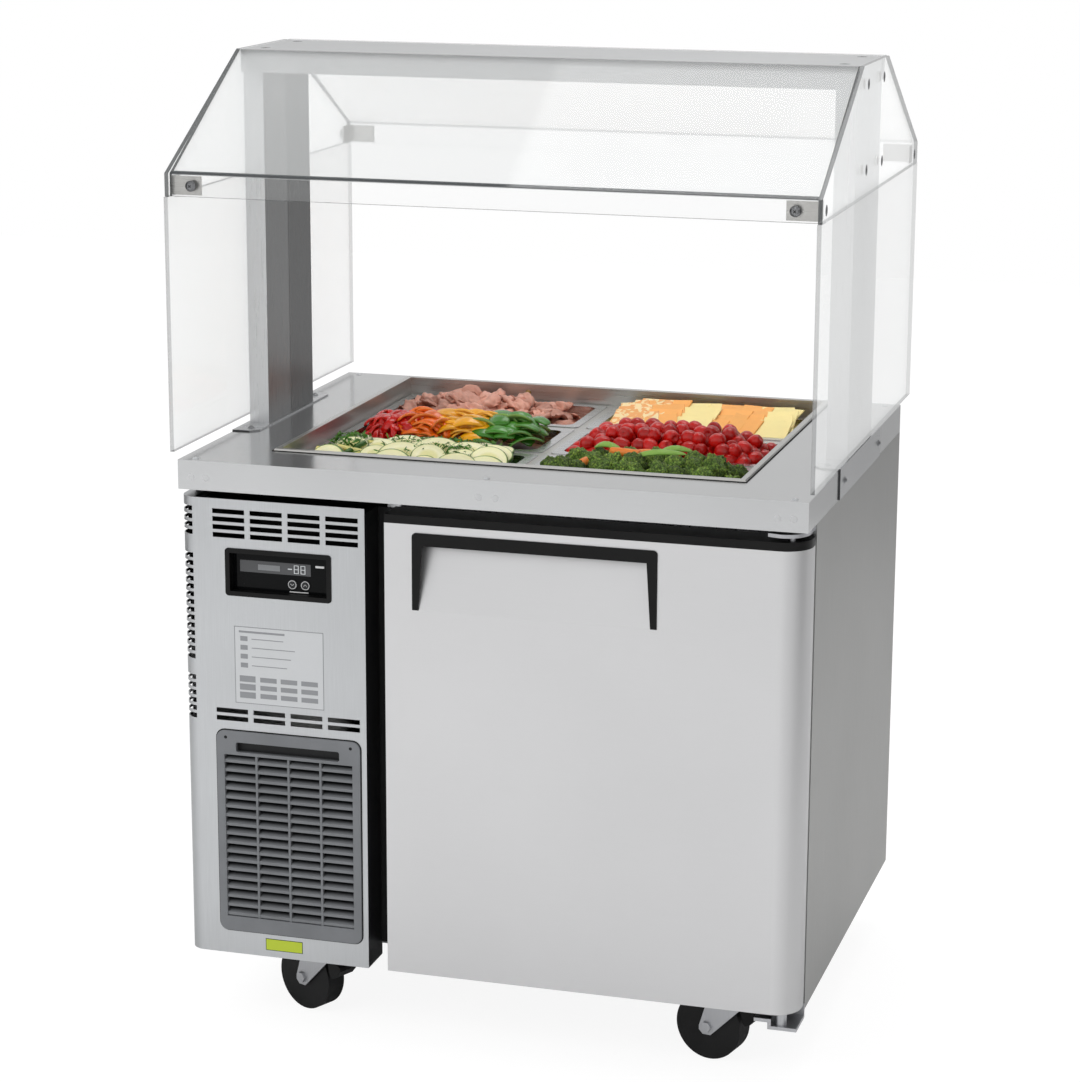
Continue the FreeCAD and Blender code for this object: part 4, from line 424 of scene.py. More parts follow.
def clear_pane(name, face_axis, face_tint, face_opacity, glow, edge_opacity, bend_height=None):
    """Clear sheet. Faces that look along face_axis are clear and the rest are edges, painted dark. A
    pair of opacities gives that of a face seen straight on and at a steep slant; the faces' pale
    tint with that opacity is painted reflection, and their glow, an even emission, is painted light."""
    material, tree, shader = start_material(name, {
        "Roughness": 0.04, "IOR": 1.49, "Specular IOR Level": 0.5,
        "Emission Color": linear(face_tint)})
    place = add_node(tree, "TexCoord")
    facing = add_node(tree, "SeparateXYZ", inputs={"Vector": place.outputs["Normal"]})
    across, upright = (add_node(tree, "Math", {"operation": "ABSOLUTE"},
                                {0: facing.outputs[axis]}) for axis in "XZ")
    if face_axis == "X":
        tests = [("LESS_THAN", across, SIDEWAYS, 0)]
    else:
        tests = [("GREATER_THAN", across, SIDEWAYS, 0), ("GREATER_THAN", upright, LEVEL, 0)]
    if bend_height is not None:
        where = add_node(tree, "SeparateXYZ", inputs={"Vector": place.outputs["Object"]})
        tests.append(("COMPARE", where.outputs["Z"], bend_height, BEND_LINE))
    edge = None
    for operation, value, limit, reach in tests:
        found = add_node(tree, "Math", {"operation": operation}, {0: value, 1: limit, 2: reach})
        edge = found if edge is None else add_node(
            tree, "Math", {"operation": "MAXIMUM"}, {0: edge, 1: found})
    mirror = add_node(tree, "Fresnel", inputs={"IOR": 1.49})
    veil = add_node(tree, "MapRange", inputs={
        "Value": mirror, "From Min": 0.05, "From Max": 0.22, "To Min": face_opacity[0], "To Max": face_opacity[1]})
    opacity = add_node(tree, "Math", {"operation": "MULTIPLY_ADD", "use_clamp": True},
                       {0: edge, 1: edge_opacity, 2: veil})
    tint = add_node(tree, "Mix", {"data_type": "RGBA"},
                    {0: edge, 6: linear(face_tint), 7: linear(EDGE_TINT)})
    sheen = add_node(tree, "MapRange", inputs={"Value": edge, "To Min": glow, "To Max": 0.0})
    feed(shader, {"Base Color": tint.outputs[2], "Emission Strength": sheen, "Alpha": opacity})
    return material


LIP_LOW, LIP_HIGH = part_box("front_glass")[0][2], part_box("front_glass")[1][2]
LIP_HEIGHT = 32 * MM
BEND_Z = LIP_LOW + LIP_HEIGHT
# Painted light and shade on the panes: the faces' pale veil is painted reflection, their glow is
# painted light, and the dark edges and bend line are painted shade.
dress(clear_pane("clear_acrylic_end", "X", "#f6f7f7", (0.03, 0.42), 0.38, 0.8),
      "end_glass_left", "end_glass_right")
dress(clear_pane("clear_acrylic_side", "X", "#eff0f0", (0.03, 0.42), 0.27, 0.35), "side_glass")
dress(clear_pane("clear_acrylic_front", "YZ", "#d3d5d5", (0.06, 0.40), 0.12, 0.8, BEND_Z),
      "front_glass")
dress(clear_pane("clear_acrylic_rear", "YZ", "#f4f5f5", (0.03, 0.36), 0.22, 0.12, BEND_Z),
      "rear_glass")
print("guard panes from", round(LIP_LOW, 3), "to", round(LIP_HIGH, 3))

# %% [markdown]
# ## Mesh helpers
# The small parts and the food are built from lists of points. A Heap gathers many small forms
# into one mesh, and keeps two numbers on each point: how far across the form it lies, such as
# from the middle of a slice to its rind, and a tint that differs from one form to the next.
# Materials read both by name, so a single mesh can hold a hundred pieces that all differ.
# Forms and their places are in millimetres until the mesh is built.

# %% Heaps of small forms
def rotation(turn):
    """Matrix of a turn in degrees about X, Y and Z."""
    return np.array(Euler([math.radians(angle) for angle in turn]).to_matrix())


class Heap:
    """Many small forms gathered into one mesh."""

    def __init__(self):
        self.points, self.faces, self.across, self.tint = [], [], [], []

    def add(self, form, place=(0, 0, 0), turn=(0, 0, 0), size=1.0, tint=None):
        points, faces, across = form
        start = sum(len(block) for block in self.points)
        self.points.append(points * size @ rotation(turn).T + np.array(place))
        self.faces.extend(tuple(start + index for index in face) for face in faces)
        self.across.append(across)
        self.tint.append(np.full(len(points), random.random() if tint is None else tint))

    def build(self, name, material, body="cabinet", smooth=True):
        mesh = bpy.data.meshes.new(name)
        points = np.concatenate(self.points) * MM
        mesh.from_pydata(points.tolist(), [], self.faces)
        for label, values in (("across", self.across), ("tint", self.tint)):
            layer = mesh.attributes.new(label, "FLOAT", "POINT")
            layer.data.foreach_set("value", np.concatenate(values).astype(np.float32))
        mesh.polygons.foreach_set("use_smooth", [smooth] * len(mesh.polygons))
        mesh.materials.append(material)
        mesh.validate()
        made = add_object(name, mesh)
        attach(made, body)
        return made


def turned(profile, steps):
    """Turn a profile of (radius, height) pairs about Z. Points on the axis close it."""
    points, faces, across = [], [], []
    widest = max(radius for radius, _ in profile)
    rings = []
    for radius, height in profile:
        count = 1 if radius == 0 else steps
        rings.append(range(len(points), len(points) + count))
        for step in range(count):
            angle = 2 * math.pi * step / steps
            points.append((radius * math.cos(angle), radius * math.sin(angle), height))
            across.append(radius / widest)
    for low, high in zip(rings, rings[1:]):
        for step in range(steps):
            after = (step + 1) % steps
            corners = [low[step % len(low)], low[after % len(low)],
                       high[after % len(high)], high[step % len(high)]]
            face = tuple(dict.fromkeys(corners))
            if len(face) > 2:
                faces.append(face)
    return np.array(points), faces, np.array(across)


def ring_faces(rings, around, capped=True):
    """Faces between rings of points that run anticlockwise, and over the first and last ring."""
    faces = [(ring * around + step, ring * around + (step + 1) % around,
              (ring + 1) * around + (step + 1) % around, (ring + 1) * around + step)
             for ring in range(rings - 1) for step in range(around)]
    if capped:
        last = (rings - 1) * around
        faces += [tuple(reversed(range(around))), tuple(range(last, last + around))]
    return faces


def swept(path, width, height, around=8, taper=lambda t: 1.0, power=2.0):
    """A bar of rounded section along a path of points in the XZ plane."""
    points, across = [], []
    count = len(path)
    for index, (x, z) in enumerate(path):
        before, after = path[max(index - 1, 0)], path[min(index + 1, count - 1)]
        lean = math.atan2(after[1] - before[1], after[0] - before[0])
        scale = taper(index / (count - 1))
        for step in range(around):
            angle = 2 * math.pi * step / around
            c, s = math.cos(angle), math.sin(angle)
            side = math.copysign(abs(c) ** (2 / power), c) * width / 2 * scale
            rise = math.copysign(abs(s) ** (2 / power), s) * height / 2 * scale
            points.append((x - math.sin(lean) * rise, side, z + math.cos(lean) * rise))
            across.append((s + 1) / 2)
    return np.array(points), ring_faces(count, around), np.array(across)


def block(low, high):
    """A rectangular block between two corners."""
    (x0, y0, z0), (x1, y1, z1) = low, high
    points = [(x, y, z) for z in (z0, z1) for x, y in ((x0, y0), (x1, y0), (x1, y1), (x0, y1))]
    return np.array(points), ring_faces(2, 4), np.ones(8)


def blob(detail, shape):
    """A ball of many facets. shape(direction) gives each point's radius and across."""
    grid = bmesh.new()
    bmesh.ops.create_icosphere(grid, subdivisions=detail, radius=1.0)
    points, across = [], []
    for vertex in grid.verts:
        stretch, value = shape(vertex.co.normalized())
        points.append(np.array(vertex.co) * stretch)
        across.append(value)
    faces = [tuple(v.index for v in face.verts) for face in grid.faces]
    grid.free()
    return np.array(points), faces, np.array(across)


# %% [markdown]
# ## Screws and plugs
# Pan-head screws hold the guard, and low plastic plugs close the holes in the worktop. A head is
# a turned profile with a cross recess. It is drawn as a shallow dark cross, because at this size
# only its shadow shows. Each one sits on the face that it holds.

# %% Screws and plugs
bright_steel = brushed_steel("polished_screw_steel", "#858688", "X", 0.28, 0.05, 0.4 * MM)
# Painted shadow: a near-black fill for recesses, holes and gaps.
shadow_black = grained("recess_shadow", "#1b1b1b", 0.8, 0.5 * MM, 0.01 * MM)

AIMS = {"+X": (0, 90, 0), "-X": (0, -90, 0), "+Y": (-90, 0, 0), "-Y": (90, 0, 0), "+Z": (0, 0, 0)}


def screws(name, places, radius, height):
    """One mesh of screw heads. Each place is (x, y, z, direction)."""
    heads, crosses = Heap(), Heap()
    # A flat washer under a low dome.
    form = turned([(radius, 0), (radius, height * 0.25), (radius * 0.72, height * 0.3),
                   (radius * 0.66, height * 0.75), (radius * 0.4, height), (0, height)], 20)
    reach = radius * 0.36
    points, faces, across = swept([(-reach, 0), (reach, 0)], radius * 0.16, height * 0.1, 4)
    bars = [(points @ rotation((0, 0, turn)).T + (0, 0, height * 1.02), faces, across)
            for turn in (45, 135)]
    for x, y, z, aim in places:
        heads.add(form, (x, y, z), AIMS[aim])
        for bar in bars:
            crosses.add(bar, (x, y, z), AIMS[aim])
    heads.build(name, bright_steel)
    crosses.build(name + "_cross", shadow_black, smooth=False)


worktop_low, worktop_high = box_mm("worktop")
TOP = worktop_high[2]
beam_top = box_mm("guard_beam")[1][2]
pane_outer = box_mm("end_glass_right")[1][0]
POST_SCREWS = (523, 405)  # heights over the worktop of the two rows on each post
LIP_SCREWS = 384
HEAD_RADIUS = 7.5
lip_screws, flat_screws = [], []
for side, aim in ((-1, "-X"), (1, "+X")):
    for y in (-60, 60):
        for height in POST_SCREWS:
            flat_screws.append((side * pane_outer, y, TOP + height, aim))
        flat_screws.append((side * 425, y * 1.07, beam_top, "+Z"))
    for end in (-1, 1):
        flat_screws.append((side * pane_outer, end * 338.6, TOP + LIP_SCREWS, aim))
        lip_screws.append((side * 421.5, end * 360, TOP + LIP_SCREWS, "+Y" if end > 0 else "-Y"))
screws("lip_screws", lip_screws, HEAD_RADIUS, 4)
# These lie on the outermost faces, so their heads are thin and the size stays the solids' own.
screws("flat_screws", flat_screws, HEAD_RADIUS, 0.4)

angle_high = box_mm("base_angles")[1]
foot_screws = []
for side, aim in ((-1, "-X"), (1, "+X")):
    for y in (-135, 130):
        foot_screws.append((side * 430, y, angle_high[2], "+Z"))
    for y in (-123, 139):
        foot_screws.append((side * angle_high[0], y, TOP - 20, aim))
screws("foot_screws", foot_screws, 5, 3)


def blocks(name, corners, material):
    """One mesh of blocks, each between two corners."""
    heap = Heap()
    for low, high in corners:
        heap.add(block(low, high))
    heap.build(name, material, smooth=False)


def plugs(name, places, radius, height, material, body="cabinet"):
    """One mesh of low domes, placed as the screws are."""
    heap = Heap()
    form = turned([(radius, 0), (radius * 0.9, height * 0.5), (radius * 0.6, height * 0.9),
                   (0, height)], 20)
    for x, y, z, aim in places:
        heap.add(form, (x, y, z), AIMS[aim])
    heap.build(name, material, body)


worktop_front, worktop_rear = worktop_low[1], worktop_high[1]
PLUG_RADIUS, PLUG_INSET, FASCIA_MIDDLE = 5, 14, 24
plugs("worktop_plugs",
      [(x, y, TOP, "+Z") for x in (-428, 0, 428)
       for y in (worktop_front + PLUG_INSET, worktop_rear - PLUG_INSET)],
      PLUG_RADIUS, 1.6, grained("grey_plug_plastic", "#b9bbbd", 0.35, 1.0 * MM, 0.01 * MM, 0.03))
plugs("fascia_plugs",
      [(x, worktop_front, TOP - FASCIA_MIDDLE, "-Y") for x in (-430, -408, -8, 16, 408, 430)],
      PLUG_RADIUS, 0.5, grained("pale_plug_plastic", "#bfc0c1", 0.4, 1.0 * MM, 0.01 * MM, 0.03))

# %% Gap, nozzles and sealant
def rounded_outline(low, high, radius, steps=6):
    """Points of a rounded rectangle in the XZ plane, anticlockwise from the right."""
    corners = ((high[0], high[1], 0), (low[0], high[1], 90), (low[0], low[1], 180),
               (high[0], low[1], 270))
    points = []
    for x, z, start in corners:
        x += -radius if x == high[0] else radius
        z += -radius if z == high[1] else radius
        for step in range(steps + 1):
            angle = math.radians(start + 90 * step / steps)
            points.append((x + radius * math.cos(angle), z + radius * math.sin(angle)))
    return points


# Painted shadow: a dark ring round the grille, which is set into the panel, stands for the shade in
# the gap, and two dark discs for the shade in its corner holes.
GRILLE_CORNER, GAP_WIDTH, GAP_OVERLAP = 12, 1.8, 2.0
grille_low, grille_high = box_mm("intake_grille")
panel_front = box_mm("machine_front_panel")[0][1]
rings = [rounded_outline(grille_low[[0, 2]] + inset, grille_high[[0, 2]] - inset,
                         GRILLE_CORNER - inset) for inset in (GAP_OVERLAP, -GAP_WIDTH)]
points = np.array([(x, panel_front - 0.1, z) for ring in rings for x, z in ring])
heap = Heap()
heap.add((points, ring_faces(2, len(rings[0]), False), np.ones(len(points))))
heap.build("grille_gap_shadow", shadow_black, smooth=False)
plugs("grille_holes",
      [(x, grille_low[1], grille_high[2] - 10, "-Y")
       for x in (grille_low[0] + 14, grille_high[0] - 14)], 2.4, 0.2, shadow_black, "grille")

well_low, well_high = box_mm("pan_well")
RIM_WIDTH = 9
plugs("well_nozzles", [(x, well_high[1] - RIM_WIDTH, TOP - 11, "-Y") for x in (-139, 124)],
      5, 3, grained("brass_nozzle", "#8c6f3c", 0.35, 1.0 * MM, 0.01 * MM))

# Painted shadow: a thin dark band round the well's rim stands for the shade along its edge.
RIM_SHADOW_WIDTH, RIM_SHADOW_TOP = 1.6, TOP + 0.8
(x0, y0), (x1, y1) = well_low[:2], well_high[:2]
left, right, front, back = x0 - RIM_SHADOW_WIDTH, x1 + RIM_SHADOW_WIDTH, y0 - RIM_SHADOW_WIDTH, y1 + RIM_SHADOW_WIDTH
blocks("rim_shadow_band", [((left, front, TOP), (right, y0, RIM_SHADOW_TOP)),
                       ((left, y1, TOP), (right, back, RIM_SHADOW_TOP)),
                       ((left, y0, TOP), (x0, y1, RIM_SHADOW_TOP)),
                       ((x1, y0, TOP), (right, y1, RIM_SHADOW_TOP))], shadow_black)

# %% [markdown]
# ## Control window and prints
# Behind the smoked window a small liquid crystal display shows two seven-segment figures. Each
# segment is a short bar of faintly glowing film. The two keys carry an arrow mark. Under the
# control there is a printed guide and at the foot a bare green label. No words are on them: the
# guide has only a rule, some panels and bars.

# %% Display
def flat_bars(name, bars, y, thickness, material):
    """Upright rectangles on the front, each (x0, x1, z0, z1) with z counted from the worktop."""
    blocks(name, [((x0, y - thickness, TOP + z0), (x1, y, TOP + z1)) for x0, x1, z0, z1 in bars],
           material)


def printed(name, colour, glow=0.0, roughness=0.5):
    """Screen-printed ink or lit film with a faint mottle."""
    material, tree, shader = start_material(name, {
        "Roughness": roughness, "Emission Color": linear(colour), "Emission Strength": glow})
    place = add_node(tree, "TexCoord")
    mottle = add_node(tree, "TexNoise", inputs={"Vector": place.outputs["Object"], "Scale": 900.0})
    base = linear(colour)
    shade = add_node(tree, "Mix", {"data_type": "RGBA"}, {
        0: mottle, 6: [c * 0.92 for c in base[:3]] + [1], 7: base})
    feed(shader, {"Base Color": shade.outputs[2]})
    return material


lcd_film = printed("lcd_film", "#47484a", 0.0, 0.2)
lcd_lit = printed("lcd_segments", "#c9ccce", 0.15)
white_ink = printed("white_ink", "#d9d9d9")
lens_front = box_mm("display_lens")[0][1]
flat_bars("lcd_window", [(-364, -258, -158, -141)], lens_front, 0.4, lcd_film)
SEGMENTS = [(0, 1, 0.93, 1), (0, 1, 0.465, 0.535), (0, 1, 0, 0.07),
            (0, 0.14, 0.05, 0.47), (0.86, 1, 0.05, 0.47),
            (0, 0.14, 0.53, 0.95), (0.86, 1, 0.53, 0.95)]
FIGURE_WIDTH, FIGURE_HEIGHT, FIGURE_FOOT = 7, 12, -155.5
figures = [(-292, -286, -150.2, -148.8)]  # the minus sign
for left in (-283, -273):
    for x0, x1, z0, z1 in SEGMENTS:
        figures.append((left + FIGURE_WIDTH * x0, left + FIGURE_WIDTH * x1,
                        FIGURE_FOOT + FIGURE_HEIGHT * z0, FIGURE_FOOT + FIGURE_HEIGHT * z1))
flat_bars("lcd_figures", figures, lens_front - 0.4, 0.2, lcd_lit)
flat_bars("lcd_marks", [(-337, -304, -154, -146)], lens_front - 0.4, 0.1,
          printed("lcd_marks_grey", "#7c7e80"))
flat_bars("window_marks", [(-251, -238, -145, -142), (-290, -262, -183, -181.5)], lens_front,
          0.2, white_ink)


def key_marks(name, node_name, body, point_up):
    """A ring and an arrowhead on the face of a key."""
    low, high = box_mm(node_name)
    middle = (low + high) / 2
    heap = Heap()
    ring = turned([(5.4, 0), (5.8, 0.15), (6.2, 0)], 28)
    heap.add(ring, (middle[0], low[1], middle[2]), AIMS["-Y"])
    lean = 1 if point_up else -1
    for side in (-1, 1):
        arm = swept([(0, 0), (side * 2.6, -lean * 2.4)], 0.3, 0.8, 4)
        heap.add(arm, (middle[0], low[1] - 0.1, middle[2] + lean * 1.2))
    heap.build(name, white_ink, body)


key_marks("key_down_mark", "button_down", "button_down_key", False)
key_marks("key_up_mark", "button_up", "button_up_key", True)

# %% Printed guide and label
guide_ink = printed("pale_grey_ink", "#c6c8ca", 0.0, 0.45)
rule_ink = printed("dark_grey_ink", "#8b8d90", 0.0, 0.45)
GUIDE_LEFT, GUIDE_RIGHT = -370, -236
GUIDE_TOP, GUIDE_FOOT = -235, -348
flat_bars("guide_plate", [(GUIDE_LEFT, GUIDE_RIGHT, GUIDE_FOOT, GUIDE_TOP)], panel_front, 0.15,
          guide_ink)
marks = []
for z0, z1 in ((GUIDE_TOP - 1, GUIDE_TOP), (GUIDE_FOOT, GUIDE_FOOT + 1)):
    marks.append((GUIDE_LEFT, GUIDE_RIGHT, z0, z1))
for x0 in (GUIDE_LEFT, GUIDE_RIGHT - 1):
    marks.append((x0, x0 + 1, GUIDE_FOOT, GUIDE_TOP))
marks.append((GUIDE_LEFT + 7, GUIDE_LEFT + 76, GUIDE_TOP - 9, GUIDE_TOP - 6))
for row in range(4):
    z = GUIDE_TOP - 14 - row * 13
    marks.append((GUIDE_LEFT + 9, GUIDE_LEFT + 20, z - 7, z))
    marks.append((GUIDE_LEFT + 26, GUIDE_LEFT + 74 + (row * 17) % 23, z - 4.2, z - 3))
for row in range(3):
    z = GUIDE_TOP - 72 - row * 12
    marks.append((GUIDE_LEFT + 7, GUIDE_LEFT + 31, z - 9, z))
    for column in range(3):
        x = GUIDE_LEFT + 38 + column * 31
        marks.append((x, x + 25, z - 8, z - 1))
flat_bars("guide_marks", marks, panel_front - 0.15, 0.1, rule_ink)

label_green = printed("green_label_film", "#b4c52c", 0.0, 0.35)
flat_bars("label_edge", [(-331, -274, -718, -700)], panel_front, 0.12,
          printed("label_border", "#33421a"))
flat_bars("label_face", [(-330, -275, -717, -701)], panel_front - 0.12, 0.1, label_green)

# %% [markdown]
# ## Food
# Every pan is filled in the same way: a lumpy bed that hides the bottom, then layers of pieces
# that rise to a low mound. Each kind of food is one form, made with the real one's section, and
# added many times with its own turn, size and tint. The food rides on its pan, so it lifts
# out with it.

# %% Beds and mounds
PAN_INSIDE = (148, 73)


def mound(u, v, height):
    """Height of a heap for u and v from -1 to 1 across the pan. It stays full near the walls."""
    return height * (max(0, 1 - u ** 4) * max(0, 1 - v ** 4)) ** 0.5


def on_pan(pan, u, v, lift, margin=0):
    """A place over a pan that keeps a margin to its walls. The lift counts from its rim."""
    low, high = box_mm(pan)
    x, y = (low[0] + high[0]) / 2, (low[1] + high[1]) / 2
    return x + u * (PAN_INSIDE[0] - margin), y + v * (PAN_INSIDE[1] - margin), high[2] + lift


def any_turn(tip, lean, yaw=180):
    """Random angles about X, Y and Z, within the limits given."""
    return [random.uniform(-limit, limit) for limit in (tip, lean, yaw)]


def food_skin(name, stops, roughness, bump_scale=60.0, bump=0.15 * MM, sheen=0.3, wet=0.0,
              buds=None):
    """Food surface whose colour runs through stops along "across" and varies by piece. It may
    be covered in buds of a given size."""
    material, tree, shader = start_material(name, {
        "Roughness": roughness, "Subsurface Weight": 0.08, "Subsurface Scale": 3 * MM,
        "Subsurface Radius": (1.0, 0.5, 0.3), "Coat Weight": wet, "Coat Roughness": 0.08,
        "Specular IOR Level": 0.35})
    where = add_node(tree, "Attribute", {"attribute_name": "across"})
    ramp = add_node(tree, "ValToRGB", inputs={"Fac": where.outputs["Fac"]})
    points = ramp.color_ramp.elements
    while len(points) < len(stops):
        points.new(0.5)
    for point, (position, colour) in zip(points, stops):
        point.position = position
        point.color = linear(colour)
    place = add_node(tree, "TexCoord")
    grain = add_node(tree, "TexNoise", inputs={
        "Vector": place.outputs["Object"], "Scale": bump_scale * 4, "Detail": 4.0})
    piece = add_node(tree, "Attribute", {"attribute_name": "tint"})
    shift = add_node(tree, "Math", {"operation": "ADD"}, {0: grain, 1: piece.outputs["Fac"]})
    value = add_node(tree, "MapRange", inputs={
        "Value": shift, "From Min": 0.2, "From Max": 1.8, "To Min": 1 - sheen, "To Max": 1 + sheen})
    shade = add_node(tree, "HueSaturation", inputs={"Color": ramp, "Value": value})
    shown, height = shade, grain
    if buds is not None:
        # Painted light and shade on buds: each bud's top is drawn paler and the gaps between darker.
        cell = add_node(tree, "TexVoronoi",
                        inputs={"Vector": place.outputs["Object"], "Scale": 1 / buds})
        crest = add_node(tree, "MapRange", inputs={
            "Value": cell, "From Max": 0.7, "To Min": 1.7, "To Max": 0.4})
        shown = add_node(tree, "VectorMath", {"operation": "SCALE"}, {0: shown, "Scale": crest})
        height = crest
    relief = add_node(tree, "Bump", inputs={"Height": height, "Strength": 0.5, "Distance": bump})
    feed(shader, {"Base Color": shown, "Normal": relief})
    return material


def grid_faces(columns, rows):
    """Faces of a sheet whose points run row by row."""
    return [(r * (columns + 1) + c, r * (columns + 1) + c + 1,
             (r + 1) * (columns + 1) + c + 1, (r + 1) * (columns + 1) + c)
            for r in range(rows) for c in range(columns)]


def fill_bed(name, pan, material, height, depth=18):
    """A lumpy sheet a little under the pieces, out to the pan's walls."""
    columns, rows = 40, 20
    points, across = [], []
    for row in range(rows + 1):
        for column in range(columns + 1):
            u, v = 2 * column / columns - 1, 2 * row / rows - 1
            lump = noise.noise(Vector((u * 7, v * 4, len(name)))) * 5
            points.append(on_pan(pan, u, v, mound(u, v, height) - depth + lump, 2))
            across.append(0.5 + lump / 20)
    heap = Heap()
    heap.add((np.array(points), grid_faces(columns, rows), np.array(across)), tint=0.2)
    heap.build(name, material, pan + "_body")


def scatter(layers, jitter):
    """Places over a pan as (u, v, lift). Each layer is a staggered grid with some jitter, given
    by its columns, its rows, the part of the pan that it spreads over and its lift."""
    for columns, rows, spread, lift in layers:
        for row in range(rows):
            for column in range(columns):
                u = (column + (row % 2) / 2) / (columns - 0.5) * 2 - 1
                v = row / (rows - 1) * 2 - 1
                yield (spread * max(-1, min(1, u + random.uniform(-jitter, jitter) / columns)),
                       spread * max(-1, min(1, v + random.uniform(-jitter, jitter) / rows)), lift)


# %% [markdown]
# ### Grape tomatoes
# A grape tomato is an egg with a small dimple where the stalk was. Its skin is smooth and waxy,
# so it carries a sharp highlight: a low roughness with a thin coat does that.

# %% Grape tomatoes
tomato_skin = food_skin("tomato_skin", [(0.0, "#7f2010"), (0.12, "#ab0f0a"), (1.0, "#bd120c")],
                        0.3, 20.0, 0.02 * MM, 0.3, 0.3)
tomato = turned([(0, 9.6), (2.2, 9.9), (5, 11.4), (8.4, 10.2), (11.3, 6.4), (12.6, 1.2),
                 (12.2, -4), (9.6, -8.4), (5.2, -10.9), (0, -11.4)], 20)
pan = "pan_middle_right"
fill_bed("tomato_bed", pan, tomato_skin, 8)
heap = Heap()
for u, v, lift in scatter(((11, 6, 1.0, -6), (10, 5, 0.86, 6), (8, 3, 0.62, 17)), 0.6):
    shape = np.array((1, 1, random.uniform(1.05, 1.3))) * random.uniform(0.84, 1.0)
    heap.add(tomato, on_pan(pan, u, v, lift + mound(u, v, 7), 13), any_turn(180, 180), shape)
heap.build("grape_tomatoes", tomato_skin, pan + "_body")

# %% [markdown]
# ### Broccoli, carrots and a pea pod
# A floret is a stalk that opens into a dome of hundreds of tight buds. Cell noise gives the buds:
# the ball's points move out near the middle of each cell. The same value also drives the colour
# as painted light and shade: the crests are drawn paler and the gaps between buds darker.

# %% Broccoli, carrots and peas
def floret(seed):
    """A budded crown on a short stalk."""
    offset = Vector((seed * 3.1, seed * 1.7, seed))

    def shape(direction):
        distance = noise.voronoi(direction * 5.5 + offset)[0][0]
        large = noise.noise(direction * 2.2 + offset)
        bud = 1 - min(distance * 1.5, 1)
        if direction.z > -0.25:
            return 0.86 + 0.2 * bud + 0.22 * large, 0.35 + 0.65 * bud
        neck = (direction.z + 0.25) / -0.75
        return 0.9 - 0.35 * math.sin(math.pi * min(neck, 1)) + 0.1 * large, 0.3 * (1 - neck)

    return blob(4, shape)


# The stops run from the pale stalk through the dark gaps between buds to the pale crests: the gaps
# and crests are painted shade and light.
broccoli_skin = food_skin("broccoli", [(0.0, "#b4c77c"), (0.25, "#6d8b36"), (0.42, "#4a6526"),
                                       (0.75, "#7b953a"), (1.0, "#a6b95a")], 0.7, 90.0,
                          0.8 * MM, 0.5, buds=2.8 * MM)
pan = "pan_front_right"
fill_bed("broccoli_bed", pan, broccoli_skin, 6)
florets = [floret(seed) for seed in range(4)]
heap = Heap()
for u, v, lift in scatter(((10, 4, 1.06, -6), (8, 3, 0.84, 7)), 0.6):
    heap.add(random.choice(florets), on_pan(pan, u, v, lift + mound(u, v, 5), 23),
             any_turn(32, 32), random.uniform(15, 22))
heap.build("broccoli_florets", broccoli_skin, pan + "_body")

carrot_skin = food_skin("carrot", [(0.0, "#e0751c"), (0.5, "#ee8a3a"), (1.0, "#ea7f30")], 0.4,
                        40.0, 0.1 * MM, 0.15, 0.2)
carrot = swept([(x, 0) for x in (-24, -23, -20, -8, 8, 20, 23, 24)], 13, 13, 12,
               lambda t: 0.3 + 0.7 * math.sin(math.pi * min(max(t, 0.02), 0.98)) ** 0.4)
heap = Heap()
for u, v, lift, yaw in ((-0.62, -0.3, 19, 78), (-0.24, 0.5, 26, -14), (-0.1, 0.9, 22, 20),
                        (0.98, -0.95, 2, 60)):
    heap.add(carrot, on_pan(pan, u, v, lift, 30), (0, random.uniform(-8, 8), yaw))
heap.build("baby_carrots", carrot_skin, pan + "_body")

pod_skin = food_skin("pea_pod", [(0.0, "#527a2b"), (0.5, "#6a9639"), (1.0, "#86ad4c")], 0.35,
                     50.0, 0.1 * MM, 0.12, 0.2)


def pod(length, width):
    """A flat pod, swollen over each pea."""
    path = [(length * (t / 24 - 0.5), 8 * math.sin(math.pi * t / 24)) for t in range(25)]
    return swept(path, width, width * 0.4, 10,
                 lambda t: max(0.06, math.sin(math.pi * t) ** 0.45
                               * (0.9 + 0.1 * abs(math.sin(math.pi * 6 * t)))))


heap = Heap()
for u, v, length, yaw in ((0.2, 0.2, 80, 8), (-0.5, 0.9, 46, -20), (0.34, 0.95, 50, 4)):
    heap.add(pod(length, 12), on_pan(pan, u, v, 27, 30), (35, -5, yaw))
heap.build("pea_pods", pod_skin, pan + "_body")

# %% [markdown]
# ### Sweet pepper strips
# A strip is cut from the curved wall of the pepper: glossy skin outside, pale flesh inside. A bar
# swept along an arc has both, because "across" runs from its inner to its outer side. Red ones
# are cut thin and curl up, and the green ones at the right are broad wedges.

# %% Sweet peppers
def pepper_strip(radius, sweep, width):
    """An arc of pepper wall, tapered a little towards its ends."""
    steps = 14
    angles = [math.radians(90 + sweep * (index / steps - 0.5)) for index in range(steps + 1)]
    path = [(-radius * math.cos(a), radius * (math.sin(a) - 0.8)) for a in angles]
    return swept(path, width, 4.6, 10, lambda t: 0.5 + 0.5 * math.sin(math.pi * t) ** 0.5, 3)


